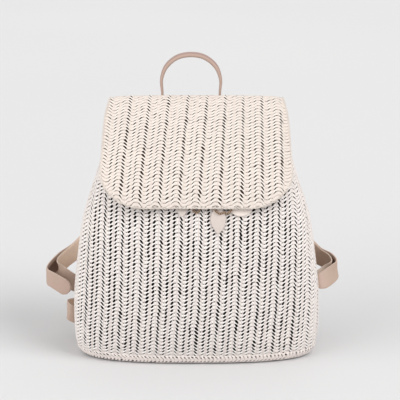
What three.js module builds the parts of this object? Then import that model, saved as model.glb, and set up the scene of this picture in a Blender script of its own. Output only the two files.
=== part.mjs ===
// Woven straw backpack with a fold-over flap, a leather carry loop and two leather shoulder straps.
// Millimetres, +Z up, the front faces -Y, and the origin is the middle of the base on the floor.
import * as THREE from 'three';

// Driving sizes of the straw bag
const BAG_WIDTH = 280;
const BAG_DEPTH = 124;
const BAG_HEIGHT = 288;
const STRAW_WALL = 2.4;
const BASE_EDGE_HEIGHT = 11.5;
const MOUTH_FRONT_HEIGHT = 238;
const MOUTH_RISE_TO_BACK = 38;
const RISE_START = 0.6;
const FRONT_ROUNDNESS = 2.6;
const BACK_ROUNDNESS = 3.4;

// Driving sizes of the flap
const FLAP_WIDTH = 214;
const FLAP_WALL = 2.8;
const FLAP_STANDOFF = 3.9;
const FLAP_CORNER_WIDTH = 52;
const FLAP_CORNER_HEIGHT = 44;
const FLAP_DRAPE = 13;
const FLAP_FOLLOW = 0.6;
const CORNER_START = 0.3;

// Driving sizes of the leather pieces
const STRAP_WIDTH = 20;
const STRAP_THICKNESS = 2.4;
const STRAP_SPREAD = 46;
const LEFT_REACH = 36;
const RIGHT_REACH = 25;
const PLY_GAP = 0.8;
const KEEPER_LENGTH = 8;
const KEEPER_WALL = 2;
const KEEPER_ROW = 3;
const KEEPER_HOLD = 0.35;
const HANDLE_WIDTH = 16;
const HANDLE_THICKNESS = 2.8;
const HANDLE_SPAN = 71;
const HANDLE_RISE = 46.5;
const HANDLE_FOOT = 22;
const HANDLE_FOOT_BELOW_TOP = 8;
const HANDLE_OFFSET = -6.3;
const HANDLE_TWIST = { from: 0.03, to: 0.15 };
const TAB_WIDTH = 16;
const TAB_LENGTH = 28;
const TAB_THICKNESS = 1.6;
const RIGHT_TAB = { x: 24, z: 170 };
const LEFT_TAB = { x: -14.5, z: 189.5 };
const CORD_DIAMETER = 2.6;
const CLEARANCE = 0.4;

// How finely the curved pieces are divided
const BAG_COLUMNS = 48;
const FLAP_COLUMNS = 24;
const FLAP_ROWS = 22;
const STEPS_PER_ROW = 3;
const HANDLE_STEPS = 36;

const PALE_STRAW = { color: 0xeee2d8, roughness: 0.85, metalness: 0 };
const ROSE_LEATHER = { color: 0xc8a693, roughness: 0.55, metalness: 0 };
const PALE_LEATHER = { color: 0xe8dacb, roughness: 0.6, metalness: 0 };

// Level sections of the bag. Heights are shares of BAG_HEIGHT, half widths of half BAG_WIDTH, and
// the reach of the front and back from the middle are shares of BAG_DEPTH.
const SECTIONS = [
  { height: 0.0, half: 0.914, front: 0.403, back: 0.355 },
  { height: 0.014, half: 0.95, front: 0.435, back: 0.387 },
  { height: 0.042, half: 0.982, front: 0.468, back: 0.411 },
  { height: 0.087, half: 0.996, front: 0.5, back: 0.427 },
  { height: 0.163, half: 1.0, front: 0.528, back: 0.44 },
  { height: 0.243, half: 0.996, front: 0.544, back: 0.448 },
  { height: 0.333, half: 0.979, front: 0.548, back: 0.452 },
  { height: 0.458, half: 0.946, front: 0.537, back: 0.452 },
  { height: 0.542, half: 0.918, front: 0.513, back: 0.452 },
  { height: 0.625, half: 0.871, front: 0.469, back: 0.452 },
  { height: 0.705, half: 0.814, front: 0.379, back: 0.45 },
  { height: 0.785, half: 0.764, front: 0.218, back: 0.448 },
  { height: 0.833, half: 0.736, front: 0.097, back: 0.445 },
  { height: 0.903, half: 0.707, front: -0.1, back: 0.443 },
  { height: 0.973, half: 0.68, front: -0.33, back: 0.44 },
];

// Heights of the band's rows between its foot and its edge, as shares
const BAND_ROWS = [0, 0.5, 1];

// Heights of the wall's rows between the base edge and the front of the mouth, as shares
const WALL_ROWS = [0, 0.03, 0.09, 0.17, 0.27, 0.38, 0.49, 0.59, 0.67, 0.74, 0.8, 0.86, 0.91, 0.96, 1];

// Side view of the line that the flap lies on, from its back seam up to the ridge. From there it
// follows the front of the level sections down to FLAP_EDGE, a share of BAG_HEIGHT.
const FLAP_RIDGE = [
  { depth: 0.443, height: 0.885 },
  { depth: 0.441, height: 0.93 },
  { depth: 0.428, height: 0.967 },
  { depth: 0.387, height: 0.98 },
];
const FLAP_EDGE = 0.625;

// Half width of the flap along that line as shares of half FLAP_WIDTH, and how far its sides droop
// towards the bag as shares of FLAP_DRAPE
const FLAP_SIDES = [
  { along: 0, half: 0.9, droop: 0.3 },
  { along: 0.17, half: 0.93, droop: 0.28 },
  { along: 0.35, half: 0.975, droop: 0.45 },
  { along: 0.6, half: 0.99, droop: 0.8 },
  { along: 1, half: 1.0, droop: 1 },
];

// Shoulder straps from the seam at the top of the back to the lower corner. out is a share of half
// BAG_WIDTH, reach of LEFT_REACH or RIGHT_REACH, behind of STRAP_SPREAD and up of BAG_HEIGHT, and
// lean turns the strap off its edge, in degrees.
const LEFT_STRAP = [
  { out: 0.16, reach: 0, behind: 0.015, up: 0.858, lean: 0 },
  { out: 0.25, reach: 0, behind: 0.025, up: 0.8, lean: 0 },
  { out: 0.42, reach: 0, behind: 0.09, up: 0.69, lean: 0 },
  { out: 0.65, reach: 0, behind: 0.23, up: 0.545, lean: 0 },
  { out: 0.86, reach: 0, behind: 0.24, up: 0.42, lean: 0 },
  { out: 1, reach: 0, behind: 0.18, up: 0.35, lean: 0 },
  { out: 1, reach: 0.42, behind: 0.02, up: 0.312, lean: 0 },
  { out: 1, reach: 0.6, behind: -0.14, up: 0.288, lean: 0 },
  { out: 1, reach: 0.47, behind: -0.28, up: 0.265, lean: 0 },
  { out: 1, reach: 0.22, behind: -0.34, up: 0.241, lean: 0 },
  { out: 1, reach: 0.03, behind: -0.3, up: 0.226, lean: 0 },
  { out: 0.93, reach: 0, behind: -0.14, up: 0.208, lean: 0 },
  { out: 0.815, reach: 0, behind: 0.1, up: 0.182, lean: 0 },
  { out: 0.745, reach: 0, behind: 0.22, up: 0.154, lean: 0 },
  { out: 0.785, reach: 0, behind: 0.32, up: 0.13, lean: 0 },
  { out: 0.915, reach: 0, behind: 0.23, up: 0.118, lean: 0 },
  { out: 1, reach: 0.14, behind: 0.01, up: 0.116, lean: 0 },
  { out: 1, reach: 0.33, behind: -0.2, up: 0.12, lean: 0 },
  { out: 1, reach: 0.27, behind: -0.35, up: 0.112, lean: 0 },
  { out: 1, reach: 0.08, behind: -0.36, up: 0.098, lean: 0 },
  { out: 0.965, reach: 0, behind: -0.29, up: 0.09, lean: 0 },
  { out: 0.91, reach: 0, behind: -0.25, up: 0.086, lean: 0 },
  { out: 0.84, reach: 0, behind: -0.19, up: 0.084, lean: 0 },
  { out: 0.77, reach: 0, behind: -0.13, up: 0.084, lean: 0 },
];
const RIGHT_STRAP = [
  { out: 0.16, reach: 0, behind: 0.015, up: 0.858, lean: 0 },
  { out: 0.25, reach: 0, behind: 0.025, up: 0.8, lean: 0 },
  { out: 0.42, reach: 0, behind: 0.09, up: 0.67, lean: 0 },
  { out: 0.65, reach: 0, behind: 0.22, up: 0.52, lean: 0 },
  { out: 0.86, reach: 0, behind: 0.24, up: 0.395, lean: 0 },
  { out: 1, reach: 0.06, behind: 0.2, up: 0.325, lean: 0 },
  { out: 1, reach: 0.56, behind: 0.01, up: 0.304, lean: 0 },
  { out: 1, reach: 0.72, behind: -0.18, up: 0.286, lean: 5 },
  { out: 1, reach: 0.44, behind: -0.34, up: 0.266, lean: 25 },
  { out: 1, reach: 0.1, behind: -0.49, up: 0.254, lean: 35 },
  { out: 0.985, reach: 0, behind: -0.36, up: 0.246, lean: 25 },
  { out: 0.955, reach: 0, behind: -0.14, up: 0.228, lean: 10 },
  { out: 0.89, reach: 0, behind: 0.03, up: 0.2, lean: 0 },
  { out: 0.79, reach: 0, behind: 0.05, up: 0.163, lean: 0 },
  { out: 0.68, reach: 0, behind: -0.03, up: 0.125, lean: 0 },
  { out: 0.58, reach: 0, behind: -0.035, up: 0.1, lean: 0 },
];

// Spare tails of the straps, from the keeper that holds them on as a second, outer ply. Their rows
// are measured as the straps' own.
const LEFT_TAIL = [
  { out: 1, reach: 0.02, behind: 0.315, up: 0.345, lean: 0 },
  { out: 1, reach: 0.55, behind: 0.24, up: 0.302, lean: 0 },
  { out: 1, reach: 0.91, behind: 0.03, up: 0.266, lean: 0 },
  { out: 1, reach: 1, behind: -0.14, up: 0.256, lean: 0 },
  { out: 1, reach: 0.96, behind: -0.31, up: 0.253, lean: 0 },
  { out: 1, reach: 0.8, behind: -0.47, up: 0.25, lean: 0 },
  { out: 1, reach: 0.5, behind: -0.63, up: 0.236, lean: 0 },
  { out: 1, reach: 0.2, behind: -0.73, up: 0.216, lean: 0 },
];
const RIGHT_TAIL = [
  { out: 1, reach: 0.1, behind: 0.3, up: 0.325, lean: 0 },
  { out: 1, reach: 0.74, behind: 0.09, up: 0.304, lean: 0 },
  { out: 1, reach: 0.98, behind: -0.2, up: 0.285, lean: 5 },
  { out: 1, reach: 0.56, behind: -0.47, up: 0.262, lean: 25 },
  { out: 1, reach: 0.14, behind: -0.64, up: 0.25, lean: 35 },
  { out: 0.985, reach: 0, behind: -0.64, up: 0.245, lean: 30 },
];

// One side of the carry loop. out is a share of half its span and rise a share of HANDLE_RISE above
// the top of the bag; the feet come before these rows.
const ARCH_SIDE = [
  { out: 0.97, rise: 0.06 },
  { out: 1, rise: 0.34 },
  { out: 0.87, rise: 0.66 },
  { out: 0.5, rise: 0.91 },
];
const FOOT_OUT = 0.94;

// One side of a leaf tab from its top to its point: every second row is a corner and the others bend
// the edge. across is a share of half its width and along of half its length.
const LEAF_SIDE = [
  { across: 0.55, along: 1 },
  { across: 1.15, along: 0.55 },
  { across: 1, along: 0 },
  { across: 0.8, along: -0.62 },
  { across: 0, along: -1 },
];

// Routes of the two drawcord ends, from under the flap down the front to their tabs
const RIGHT_CORD_POINTS = [
  [9, -21.1, 234],
  [11, -29.6, 226],
  [14, -39.8, 215],
  [18, -47.7, 205],
  [21.5, -53.5, 195],
  [23.6, -58.2, 184.6],
];
const LEFT_CORD_POINTS = [
  [-7, -21.1, 234],
  [-8, -29.6, 226],
  [-10.5, -39.8, 215],
  [-14, -48.9, 203.4],
];

// Smooth value of one column of a table, which never swings past its rows
function readTable(table, along, column, at) {
  const last = table.length - 1;
  const place = THREE.MathUtils.clamp(at, table[0][along], table[last][along]);
  const row = Math.max(0, Math.min(last - 1, table.findIndex((entry) => entry[along] > place) - 1));
  const start = place >= table[last][along] ? last - 1 : row;
  const rise = (i) => table[i + 1][column] - table[i][column];
  const slopeOver = (i) => rise(i) / (table[i + 1][along] - table[i][along]);
  const slopeAt = (i) => {
    const before = slopeOver(Math.max(0, i - 1));
    const after = slopeOver(Math.min(last - 1, i));
    return before * after <= 0 ? 0 : (2 * before * after) / (before + after);
  };
  const span = table[start + 1][along] - table[start][along];
  const t = (place - table[start][along]) / span;
  const drift = 3 * t * t - 2 * t * t * t;
  return (
    table[start][column] * (1 - drift) +
    table[start + 1][column] * drift +
    span * t * (1 - t) * (slopeAt(start) * (1 - t) - slopeAt(start + 1) * t)
  );
}

// Level section of the bag at a height: its half width, the middle of its depth and half its depth
function sectionAt(z) {
  const height = z / BAG_HEIGHT;
  const front = readTable(SECTIONS, 'height', 'front', height) * BAG_DEPTH;
  const back = readTable(SECTIONS, 'height', 'back', height) * BAG_DEPTH;
  return {
    half: (readTable(SECTIONS, 'height', 'half', height) * BAG_WIDTH) / 2,
    middle: (back - front) / 2,
    depth: (back + front) / 2,
    back,
  };
}

// Point of the rounded section at an angle about +Z, from +X towards the back
function sectionPoint(angle, z, inset) {
  const { half, middle, depth } = sectionAt(z);
  const across = Math.cos(angle);
  const along = Math.sin(angle);
  const power = 2 / (along < 0 ? FRONT_ROUNDNESS : BACK_ROUNDNESS);
  return new THREE.Vector3(
    (half - inset) * Math.sign(across) * Math.abs(across) ** power,
    middle + (depth - inset) * Math.sign(along) * Math.abs(along) ** power,
    z,
  );
}

// Angles that divide the back half and the front half of the widest section into even columns
function evenAngles(count) {
  const fine = 720;
  const widest = SECTIONS.reduce((a, b) => (b.half > a.half ? b : a)).height * BAG_HEIGHT;
  return [0, Math.PI].flatMap((start) => {
    const angleAt = (i) => start + (Math.PI * i) / fine;
    const lengths = [0];
    for (let i = 1; i <= fine; i += 1) {
      const step = sectionPoint(angleAt(i), widest, 0).distanceTo(sectionPoint(angleAt(i - 1), widest, 0));
      lengths.push(lengths[i - 1] + step);
    }
    return Array.from({ length: count / 2 }, (_, c) => {
      const target = (lengths[fine] * c) / (count / 2);
      return angleAt(lengths.findIndex((length) => length >= target));
    });
  });
}

const AROUND = evenAngles(BAG_COLUMNS);

// Mesh of one closed body from its corners and faces, with the faces turned outwards
function solidMesh(name, corners, faces, finish) {
  const sixVolumes = faces.reduce((sum, [a, b, c]) => (
    sum + corners[a].dot(corners[b].clone().cross(corners[c]))
  ), 0);
  const outward = sixVolumes > 0 ? faces : faces.map(([a, b, c]) => [a, c, b]);
  const geometry = new THREE.BufferGeometry().setFromPoints(corners);
  geometry.setIndex(outward.flat());
  geometry.computeVertexNormals();
  return namedMesh(name, geometry, finish);
}

function namedMesh(name, geometry, finish) {
  const mesh = new THREE.Mesh(geometry, new THREE.MeshStandardMaterial(finish));
  mesh.name = name;
  return mesh;
}

// Faces between two rows of corners of equal length, each given as a list of corner numbers
function bandFaces(rowA, rowB) {
  const faces = [];
  for (let i = 0; i + 1 < rowA.length; i += 1) {
    faces.push([rowA[i], rowA[i + 1], rowB[i + 1]]);
    faces.push([rowA[i], rowB[i + 1], rowB[i]]);
  }
  return faces;
}

// Body skinned through closed rings. The last ring joins the first again, or both ends are capped.
function ringBody(name, rings, capped, finish) {
  const size = rings[0].length;
  const corners = rings.flat();
  const ringRow = (r) => Array.from({ length: size + 1 }, (_, i) => r * size + (i % size));
  const faces = [];
  for (let r = 0; r + 1 < rings.length; r += 1) faces.push(...bandFaces(ringRow(r), ringRow(r + 1)));
  if (!capped) {
    faces.push(...bandFaces(ringRow(rings.length - 1), ringRow(0)));
    return solidMesh(name, corners, faces, finish);
  }
  for (const end of [0, rings.length - 1]) {
    const centre = rings[end].reduce((sum, p) => sum.add(p), new THREE.Vector3()).divideScalar(size);
    const hub = corners.push(centre) - 1;
    const row = end === 0 ? ringRow(end).reverse() : ringRow(end);
    for (let i = 0; i < size; i += 1) faces.push([row[i], row[i + 1], hub]);
  }
  return solidMesh(name, corners, faces, finish);
}

// Body between an outer and an inner grid of points with the same rows and columns
function sheetBody(name, outer, inner, finish) {
  const rows = outer.length;
  const columns = outer[0].length;
  const corners = [...outer.flat(), ...inner.flat()];
  const outerRow = (r) => outer[r].map((_, c) => r * columns + c);
  const innerRow = (r) => outerRow(r).map((corner) => corner + rows * columns);
  const outerColumn = (c) => outer.map((_, r) => r * columns + c);
  const innerColumn = (c) => outerColumn(c).map((corner) => corner + rows * columns);
  const faces = [
    ...bandFaces(innerRow(0), outerRow(0)),
    ...bandFaces(outerRow(rows - 1), innerRow(rows - 1)),
    ...bandFaces(outerColumn(0), innerColumn(0)),
    ...bandFaces(innerColumn(columns - 1), outerColumn(columns - 1)),
  ];
  for (let r = 0; r + 1 < rows; r += 1) {
    faces.push(...bandFaces(outerRow(r), outerRow(r + 1)));
    faces.push(...bandFaces(innerRow(r + 1), innerRow(r)));
  }
  return solidMesh(name, corners, faces, finish);
}

// Straw floor of the bag, with its rounded outline
function makeFloor() {
  const rings = [0, STRAW_WALL].map((z) => AROUND.map((angle) => sectionPoint(angle, z, 0)));
  return ringBody('straw_base', rings, true, PALE_STRAW);
}

// Band of straw that turns up round the floor's edge
function makeBand() {
  const foot = STRAW_WALL + CLEARANCE;
  const ringAt = (share, inset) => (
    AROUND.map((angle) => sectionPoint(angle, foot + share * (BASE_EDGE_HEIGHT - foot), inset))
  );
  const outer = BAND_ROWS.map((share) => ringAt(share, 0));
  const inner = BAND_ROWS.toReversed().map((share) => ringAt(share, STRAW_WALL));
  return ringBody('base_band', [...outer, ...inner], false, PALE_STRAW);
}

// Straw wall of one side of the bag, from side seam to side seam. The edge of the mouth rises from
// the front to the back.
function makeWall(name, firstColumn, towards) {
  const foot = BASE_EDGE_HEIGHT + CLEARANCE;
  const lastColumn = BAG_COLUMNS / 2;
  const wallPoint = (share, inset, c) => {
    const angle = AROUND[(firstColumn + c) % BAG_COLUMNS];
    const rise = MOUTH_RISE_TO_BACK * THREE.MathUtils.smoothstep(share, RISE_START, 1);
    const level = foot + share * (MOUTH_FRONT_HEIGHT - foot);
    const point = sectionPoint(angle, level + (rise * (1 + Math.sin(angle))) / 2, inset);
    if (c % lastColumn === 0) point.y += (towards * CLEARANCE) / 2;
    return point;
  };
  const grid = (inset) => WALL_ROWS.map((share) => (
    Array.from({ length: lastColumn + 1 }, (_, c) => wallPoint(share, inset, c))
  ));
  return sheetBody(name, grid(0), grid(STRAW_WALL), PALE_STRAW);
}

// Line that the flap lies on, seen from the side, from the back seam over the ridge to the front
function makeFlapLine() {
  const front = SECTIONS.filter((row) => row.height >= FLAP_EDGE).toReversed();
  const rows = [...FLAP_RIDGE, ...front.map((row) => ({ depth: -row.front, height: row.height }))];
  return new THREE.CatmullRomCurve3(
    rows.map((row) => new THREE.Vector3(0, row.depth * BAG_DEPTH, row.height * BAG_HEIGHT)),
  );
}

// How far the bag's section falls back from its middle at a distance from the centre line
function sectionFall(x, z, roundness) {
  const { half, depth } = sectionAt(z);
  const share = Math.min(1, Math.abs(x) / half);
  return depth * (1 - (1 - share ** roundness) ** (1 / roundness));
}

// Straw flap with rounded front corners, standing a little off the bag and drooping at its sides
function makeFlap() {
  const line = makeFlapLine();
  const length = line.getLength();
  const cornerStart = FLAP_WIDTH / 2 - FLAP_CORNER_WIDTH;
  const pointAt = (across, share, offset) => {
    const corner = Math.max(0, Math.abs(across) * (FLAP_WIDTH / 2) - cornerStart) / FLAP_CORNER_WIDTH;
    const cut = (FLAP_CORNER_HEIGHT / length) * (1 - Math.sqrt(Math.max(0, 1 - corner * corner)));
    const beyond = Math.max(0, share - CORNER_START) / (1 - CORNER_START);
    const along = share - cut * beyond;
    const base = line.getPointAt(along);
    const tangent = line.getTangentAt(along);
    const normal = new THREE.Vector3(0, tangent.z, -tangent.y);
    const x = (across * readTable(FLAP_SIDES, 'along', 'half', along) * FLAP_WIDTH) / 2;
    const limit = FLAP_DRAPE * readTable(FLAP_SIDES, 'along', 'droop', along);
    const fall = sectionFall(x, base.z, normal.y > 0 ? BACK_ROUNDNESS : FRONT_ROUNDNESS);
    const droop = limit * (1 - Math.exp((-FLAP_FOLLOW * fall) / limit));
    return base.addScaledVector(normal, offset - droop).setX(x);
  };
  const grid = (offset) => Array.from({ length: FLAP_ROWS + 1 }, (_, r) => (
    Array.from({ length: FLAP_COLUMNS + 1 }, (__, c) => {
      const across = Math.sin((Math.PI / 2) * ((2 * c) / FLAP_COLUMNS - 1));
      return pointAt(across, r / FLAP_ROWS, offset);
    })
  ));
  return sheetBody('straw_flap', grid(FLAP_STANDOFF + FLAP_WALL), grid(FLAP_STANDOFF), PALE_STRAW);
}

// Flat strip of leather along a curve, with acrossAt giving the direction across it at a share.
// Its last stretch, as long as tip, narrows to a round end.
function stripBody(name, curve, { steps, width, thickness, tip, acrossAt }, finish) {
  const outer = [];
  const inner = [];
  for (let i = 0; i <= steps; i += 1) {
    const share = i / steps;
    const tangent = curve.getTangent(share);
    const across = acrossAt(share, tangent).normalize();
    const normal = tangent.clone().cross(across);
    const middle = curve.getPoint(share);
    const left = middle.distanceTo(curve.getPoint(1));
    const round = left < tip ? Math.sqrt(1 - (1 - left / tip) ** 2) : 1;
    const half = (width / 2) * Math.max(0.3, round);
    const edges = [-half, half].map((reach) => middle.clone().addScaledVector(across, reach));
    outer.push(edges.map((edge) => edge.clone().addScaledVector(normal, thickness / 2)));
    inner.push(edges.map((edge) => edge.clone().addScaledVector(normal, -thickness / 2)));
  }
  return sheetBody(name, outer, inner, finish);
}

// Outward direction of a strap that stands on edge
function outwardOf(tangent, side) {
  return new THREE.Vector3(-side * tangent.y, side * tangent.x, 0).normalize();
}

// Places of a strap's rows on one side of the bag
function strapPoints(rows, side, reach) {
  return rows.map((row) => {
    const z = row.up * BAG_HEIGHT;
    const seat = sectionAt(z).back + CLEARANCE + STRAP_THICKNESS / 2;
    const x = side * ((row.out * BAG_WIDTH) / 2 + row.reach * reach);
    return new THREE.Vector3(x, seat + row.behind * STRAP_SPREAD, z);
  });
}

// Strap that stands on edge along its points, turned about its length by the angle at each point
function edgeStrap(name, points, leans, side, tip) {
  const acrossAt = (share, tangent) => {
    const place = share * (leans.length - 1);
    const row = Math.min(leans.length - 2, Math.floor(place));
    const lean = THREE.MathUtils.lerp(leans[row], leans[row + 1], place - row);
    const upright = tangent.clone().cross(outwardOf(tangent, side));
    return upright.applyAxisAngle(tangent, side * THREE.MathUtils.degToRad(lean));
  };
  const strip = {
    steps: STEPS_PER_ROW * (points.length - 1),
    width: STRAP_WIDTH,
    thickness: STRAP_THICKNESS,
    tip,
    acrossAt,
  };
  return stripBody(name, new THREE.CatmullRomCurve3(points), strip, ROSE_LEATHER);
}

// One shoulder strap with its spare tail and the keeper round both
function makeStrap(label, side, reach, strapRows, tailRows) {
  const points = strapPoints(strapRows, side, reach);
  const curve = new THREE.CatmullRomCurve3(points);
  const plyStep = STRAP_THICKNESS + PLY_GAP;
  const beside = (row, distance) => {
    const share = row / (points.length - 1);
    return curve.getPoint(share).addScaledVector(outwardOf(curve.getTangent(share), side), distance);
  };
  const held = [-KEEPER_HOLD, 0, KEEPER_HOLD].map((step) => beside(KEEPER_ROW + step, plyStep));
  const tailPoints = [...held, ...strapPoints(tailRows, side, reach)];
  const tailLeans = [...held.map(() => 0), ...tailRows.map((row) => row.lean)];

  const across = STRAP_WIDTH + 2 * CLEARANCE;
  const deep = STRAP_THICKNESS + plyStep + 2 * CLEARANCE;
  const shape = rectangle(across + 2 * KEEPER_WALL, deep + 2 * KEEPER_WALL);
  shape.holes.push(rectangle(across, deep));
  const band = new THREE.ExtrudeGeometry(shape, { depth: KEEPER_LENGTH, bevelEnabled: false });
  band.translate(0, 0, -KEEPER_LENGTH / 2);
  const keeper = namedMesh(`strap_keeper_${label}`, band, ROSE_LEATHER);
  const tangent = curve.getTangent(KEEPER_ROW / (points.length - 1));
  const upright = tangent.clone().cross(outwardOf(tangent, side)).normalize();
  const facing = tangent.clone().cross(upright);
  keeper.quaternion.setFromRotationMatrix(new THREE.Matrix4().makeBasis(upright, facing, tangent));
  keeper.position.copy(beside(KEEPER_ROW, plyStep / 2));

  const group = new THREE.Group();
  group.add(
    edgeStrap(`shoulder_strap_${label}`, points, strapRows.map((row) => row.lean), side, 0),
    edgeStrap(`strap_tail_${label}`, tailPoints, tailLeans, side, STRAP_WIDTH / 2),
    keeper,
  );
  return group;
}

function rectangle(width, height) {
  return new THREE.Shape([
    new THREE.Vector2(-width / 2, -height / 2),
    new THREE.Vector2(width / 2, -height / 2),
    new THREE.Vector2(width / 2, height / 2),
    new THREE.Vector2(-width / 2, height / 2),
  ]);
}

// Carry loop: an arch of flat leather whose feet lie on the flap's back and twist as they rise
function makeHandle() {
  const half = (HANDLE_SPAN - HANDLE_THICKNESS) / 2;
  const foot = BAG_HEIGHT - HANDLE_FOOT - HANDLE_FOOT_BELOW_TOP;
  const side = [
    { out: FOOT_OUT, z: foot },
    { out: FOOT_OUT, z: foot + HANDLE_FOOT / 2 },
    ...ARCH_SIDE.map((row) => ({ out: row.out, z: BAG_HEIGHT + row.rise * HANDLE_RISE })),
  ];
  const place = (row, sign) => new THREE.Vector3(HANDLE_OFFSET + sign * row.out * half, 0, row.z);
  const arch = new THREE.CatmullRomCurve3([
    ...side.map((row) => place(row, -1)),
    new THREE.Vector3(HANDLE_OFFSET, 0, BAG_HEIGHT + HANDLE_RISE - HANDLE_THICKNESS / 2),
    ...side.toReversed().map((row) => place(row, 1)),
  ]);
  const seat = makeFlapLine().getPoint(0).y + FLAP_STANDOFF + FLAP_WALL + CLEARANCE;
  const { from, to } = HANDLE_TWIST;
  const twistAt = (share) => (
    (Math.PI / 2) * THREE.MathUtils.smoothstep(Math.min(share, 1 - share), from, to)
  );
  const points = arch.getPoints(HANDLE_STEPS).map((point, i) => {
    const twist = twistAt(i / HANDLE_STEPS);
    const reach = (HANDLE_WIDTH * Math.sin(twist) + HANDLE_THICKNESS * Math.cos(twist)) / 2;
    return point.setY(seat + reach);
  });
  const acrossAt = (share, tangent) => {
    const turn = share < 0.5 ? twistAt(share) : Math.PI - twistAt(share);
    const flat = new THREE.Vector3(Math.cos(turn), Math.sin(turn), 0);
    return flat.addScaledVector(tangent, -flat.dot(tangent));
  };
  const strip = {
    steps: HANDLE_STEPS,
    width: HANDLE_WIDTH,
    thickness: HANDLE_THICKNESS,
    tip: 0,
    acrossAt,
  };
  return stripBody('carry_loop', new THREE.CatmullRomCurve3(points), strip, ROSE_LEATHER);
}

// Point on the front of the bag near the centre line, with the slope of the wall there
function frontAt(z) {
  const step = 1;
  const reach = (height) => {
    const { middle, depth } = sectionAt(height);
    return middle - depth;
  };
  return { y: reach(z), lean: Math.atan2(reach(z + step) - reach(z - step), 2 * step) };
}

// Leaf-shaped leather tab that lies on the front of the bag
function makeTab(name, { x, z }) {
  const [start, ...bends] = LEAF_SIDE.map((row) => (
    new THREE.Vector2((row.across * TAB_WIDTH) / 2, (row.along * TAB_LENGTH) / 2)
  ));
  const mirrored = (point) => new THREE.Vector2(-point.x, point.y);
  const leaf = new THREE.Shape();
  leaf.moveTo(start.x, start.y);
  for (let i = 0; i < bends.length; i += 2) {
    leaf.quadraticCurveTo(bends[i].x, bends[i].y, bends[i + 1].x, bends[i + 1].y);
  }
  const back = [start, ...bends].toReversed().map(mirrored);
  for (let i = 1; i < back.length; i += 2) {
    leaf.quadraticCurveTo(back[i].x, back[i].y, back[i + 1].x, back[i + 1].y);
  }
  const plate = new THREE.ExtrudeGeometry(leaf, {
    depth: TAB_THICKNESS,
    bevelEnabled: false,
    curveSegments: 5,
  });
  const { y, lean } = frontAt(z);
  const tab = namedMesh(name, plate, PALE_LEATHER);
  tab.rotation.x = Math.PI / 2 - lean;
  tab.position.set(x, y - CLEARANCE * Math.cos(lean), z + CLEARANCE * Math.sin(lean));
  return tab;
}

// Round cord along its chosen points
function makeCord(name, points) {
  const sides = 8;
  const section = new THREE.Shape(Array.from({ length: sides }, (_, i) => {
    const angle = (2 * Math.PI * i) / sides;
    return new THREE.Vector2(Math.cos(angle), Math.sin(angle)).multiplyScalar(CORD_DIAMETER / 2);
  }));
  const path = new THREE.CatmullRomCurve3(points.map((point) => new THREE.Vector3(...point)));
  const steps = Math.round(path.getLength() / (2 * CORD_DIAMETER));
  const geometry = new THREE.ExtrudeGeometry(section, { steps, extrudePath: path, bevelEnabled: false });
  return namedMesh(name, geometry, PALE_LEATHER);
}

const backpack = new THREE.Group();
backpack.add(
  makeFloor(),
  makeBand(),
  makeWall('straw_back', 0, 1),
  makeWall('straw_front', BAG_COLUMNS / 2, -1),
  makeFlap(),
  makeHandle(),
  makeStrap('left', -1, LEFT_REACH, LEFT_STRAP, LEFT_TAIL),
  makeStrap('right', 1, RIGHT_REACH, RIGHT_STRAP, RIGHT_TAIL),
  makeTab('leaf_tab_right', RIGHT_TAB),
  makeTab('leaf_tab_left', LEFT_TAB),
  makeCord('drawcord_right', RIGHT_CORD_POINTS),
  makeCord('drawcord_left', LEFT_CORD_POINTS),
);

export default backpack;
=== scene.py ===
"""Looks of a woven straw backpack with a flap, a leather carry loop and leather shoulder straps.

Lengths are in millimetres unless a heading says otherwise, and meshes are made in metres.
"""

import math

import bpy
import numpy as np
from mathutils import Matrix, Vector


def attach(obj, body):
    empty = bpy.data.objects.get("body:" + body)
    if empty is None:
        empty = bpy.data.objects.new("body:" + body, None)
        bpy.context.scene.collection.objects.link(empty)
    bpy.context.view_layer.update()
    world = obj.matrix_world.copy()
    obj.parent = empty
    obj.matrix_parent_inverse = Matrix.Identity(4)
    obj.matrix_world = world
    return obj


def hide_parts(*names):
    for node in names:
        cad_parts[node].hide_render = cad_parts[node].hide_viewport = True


MM = 0.001
RNG = np.random.default_rng(5424)

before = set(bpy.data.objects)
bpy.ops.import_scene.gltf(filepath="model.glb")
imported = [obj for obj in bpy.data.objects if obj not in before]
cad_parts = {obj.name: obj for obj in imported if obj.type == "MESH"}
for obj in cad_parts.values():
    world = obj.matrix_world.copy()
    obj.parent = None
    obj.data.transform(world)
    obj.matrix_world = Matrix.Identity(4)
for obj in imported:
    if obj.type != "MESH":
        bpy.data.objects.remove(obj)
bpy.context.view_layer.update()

# Sizes of the bag
BAG_WIDTH = 280
BAG_DEPTH = 124
BAG_HEIGHT = 288
BASE_EDGE_HEIGHT = 11.5
MOUTH_FRONT_HEIGHT = 238
MOUTH_RISE_TO_BACK = 38
FRONT_ROUNDNESS = 2.6
BACK_ROUNDNESS = 3.4

# Sizes of the flap
FLAP_WIDTH = 214
FLAP_WALL = 2.8
FLAP_STANDOFF = 3.9
FLAP_CORNER_WIDTH = 52
FLAP_CORNER_HEIGHT = 44
FLAP_DRAPE = 13
FLAP_FOLLOW = 0.6
FLAP_EDGE = 0.625

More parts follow.
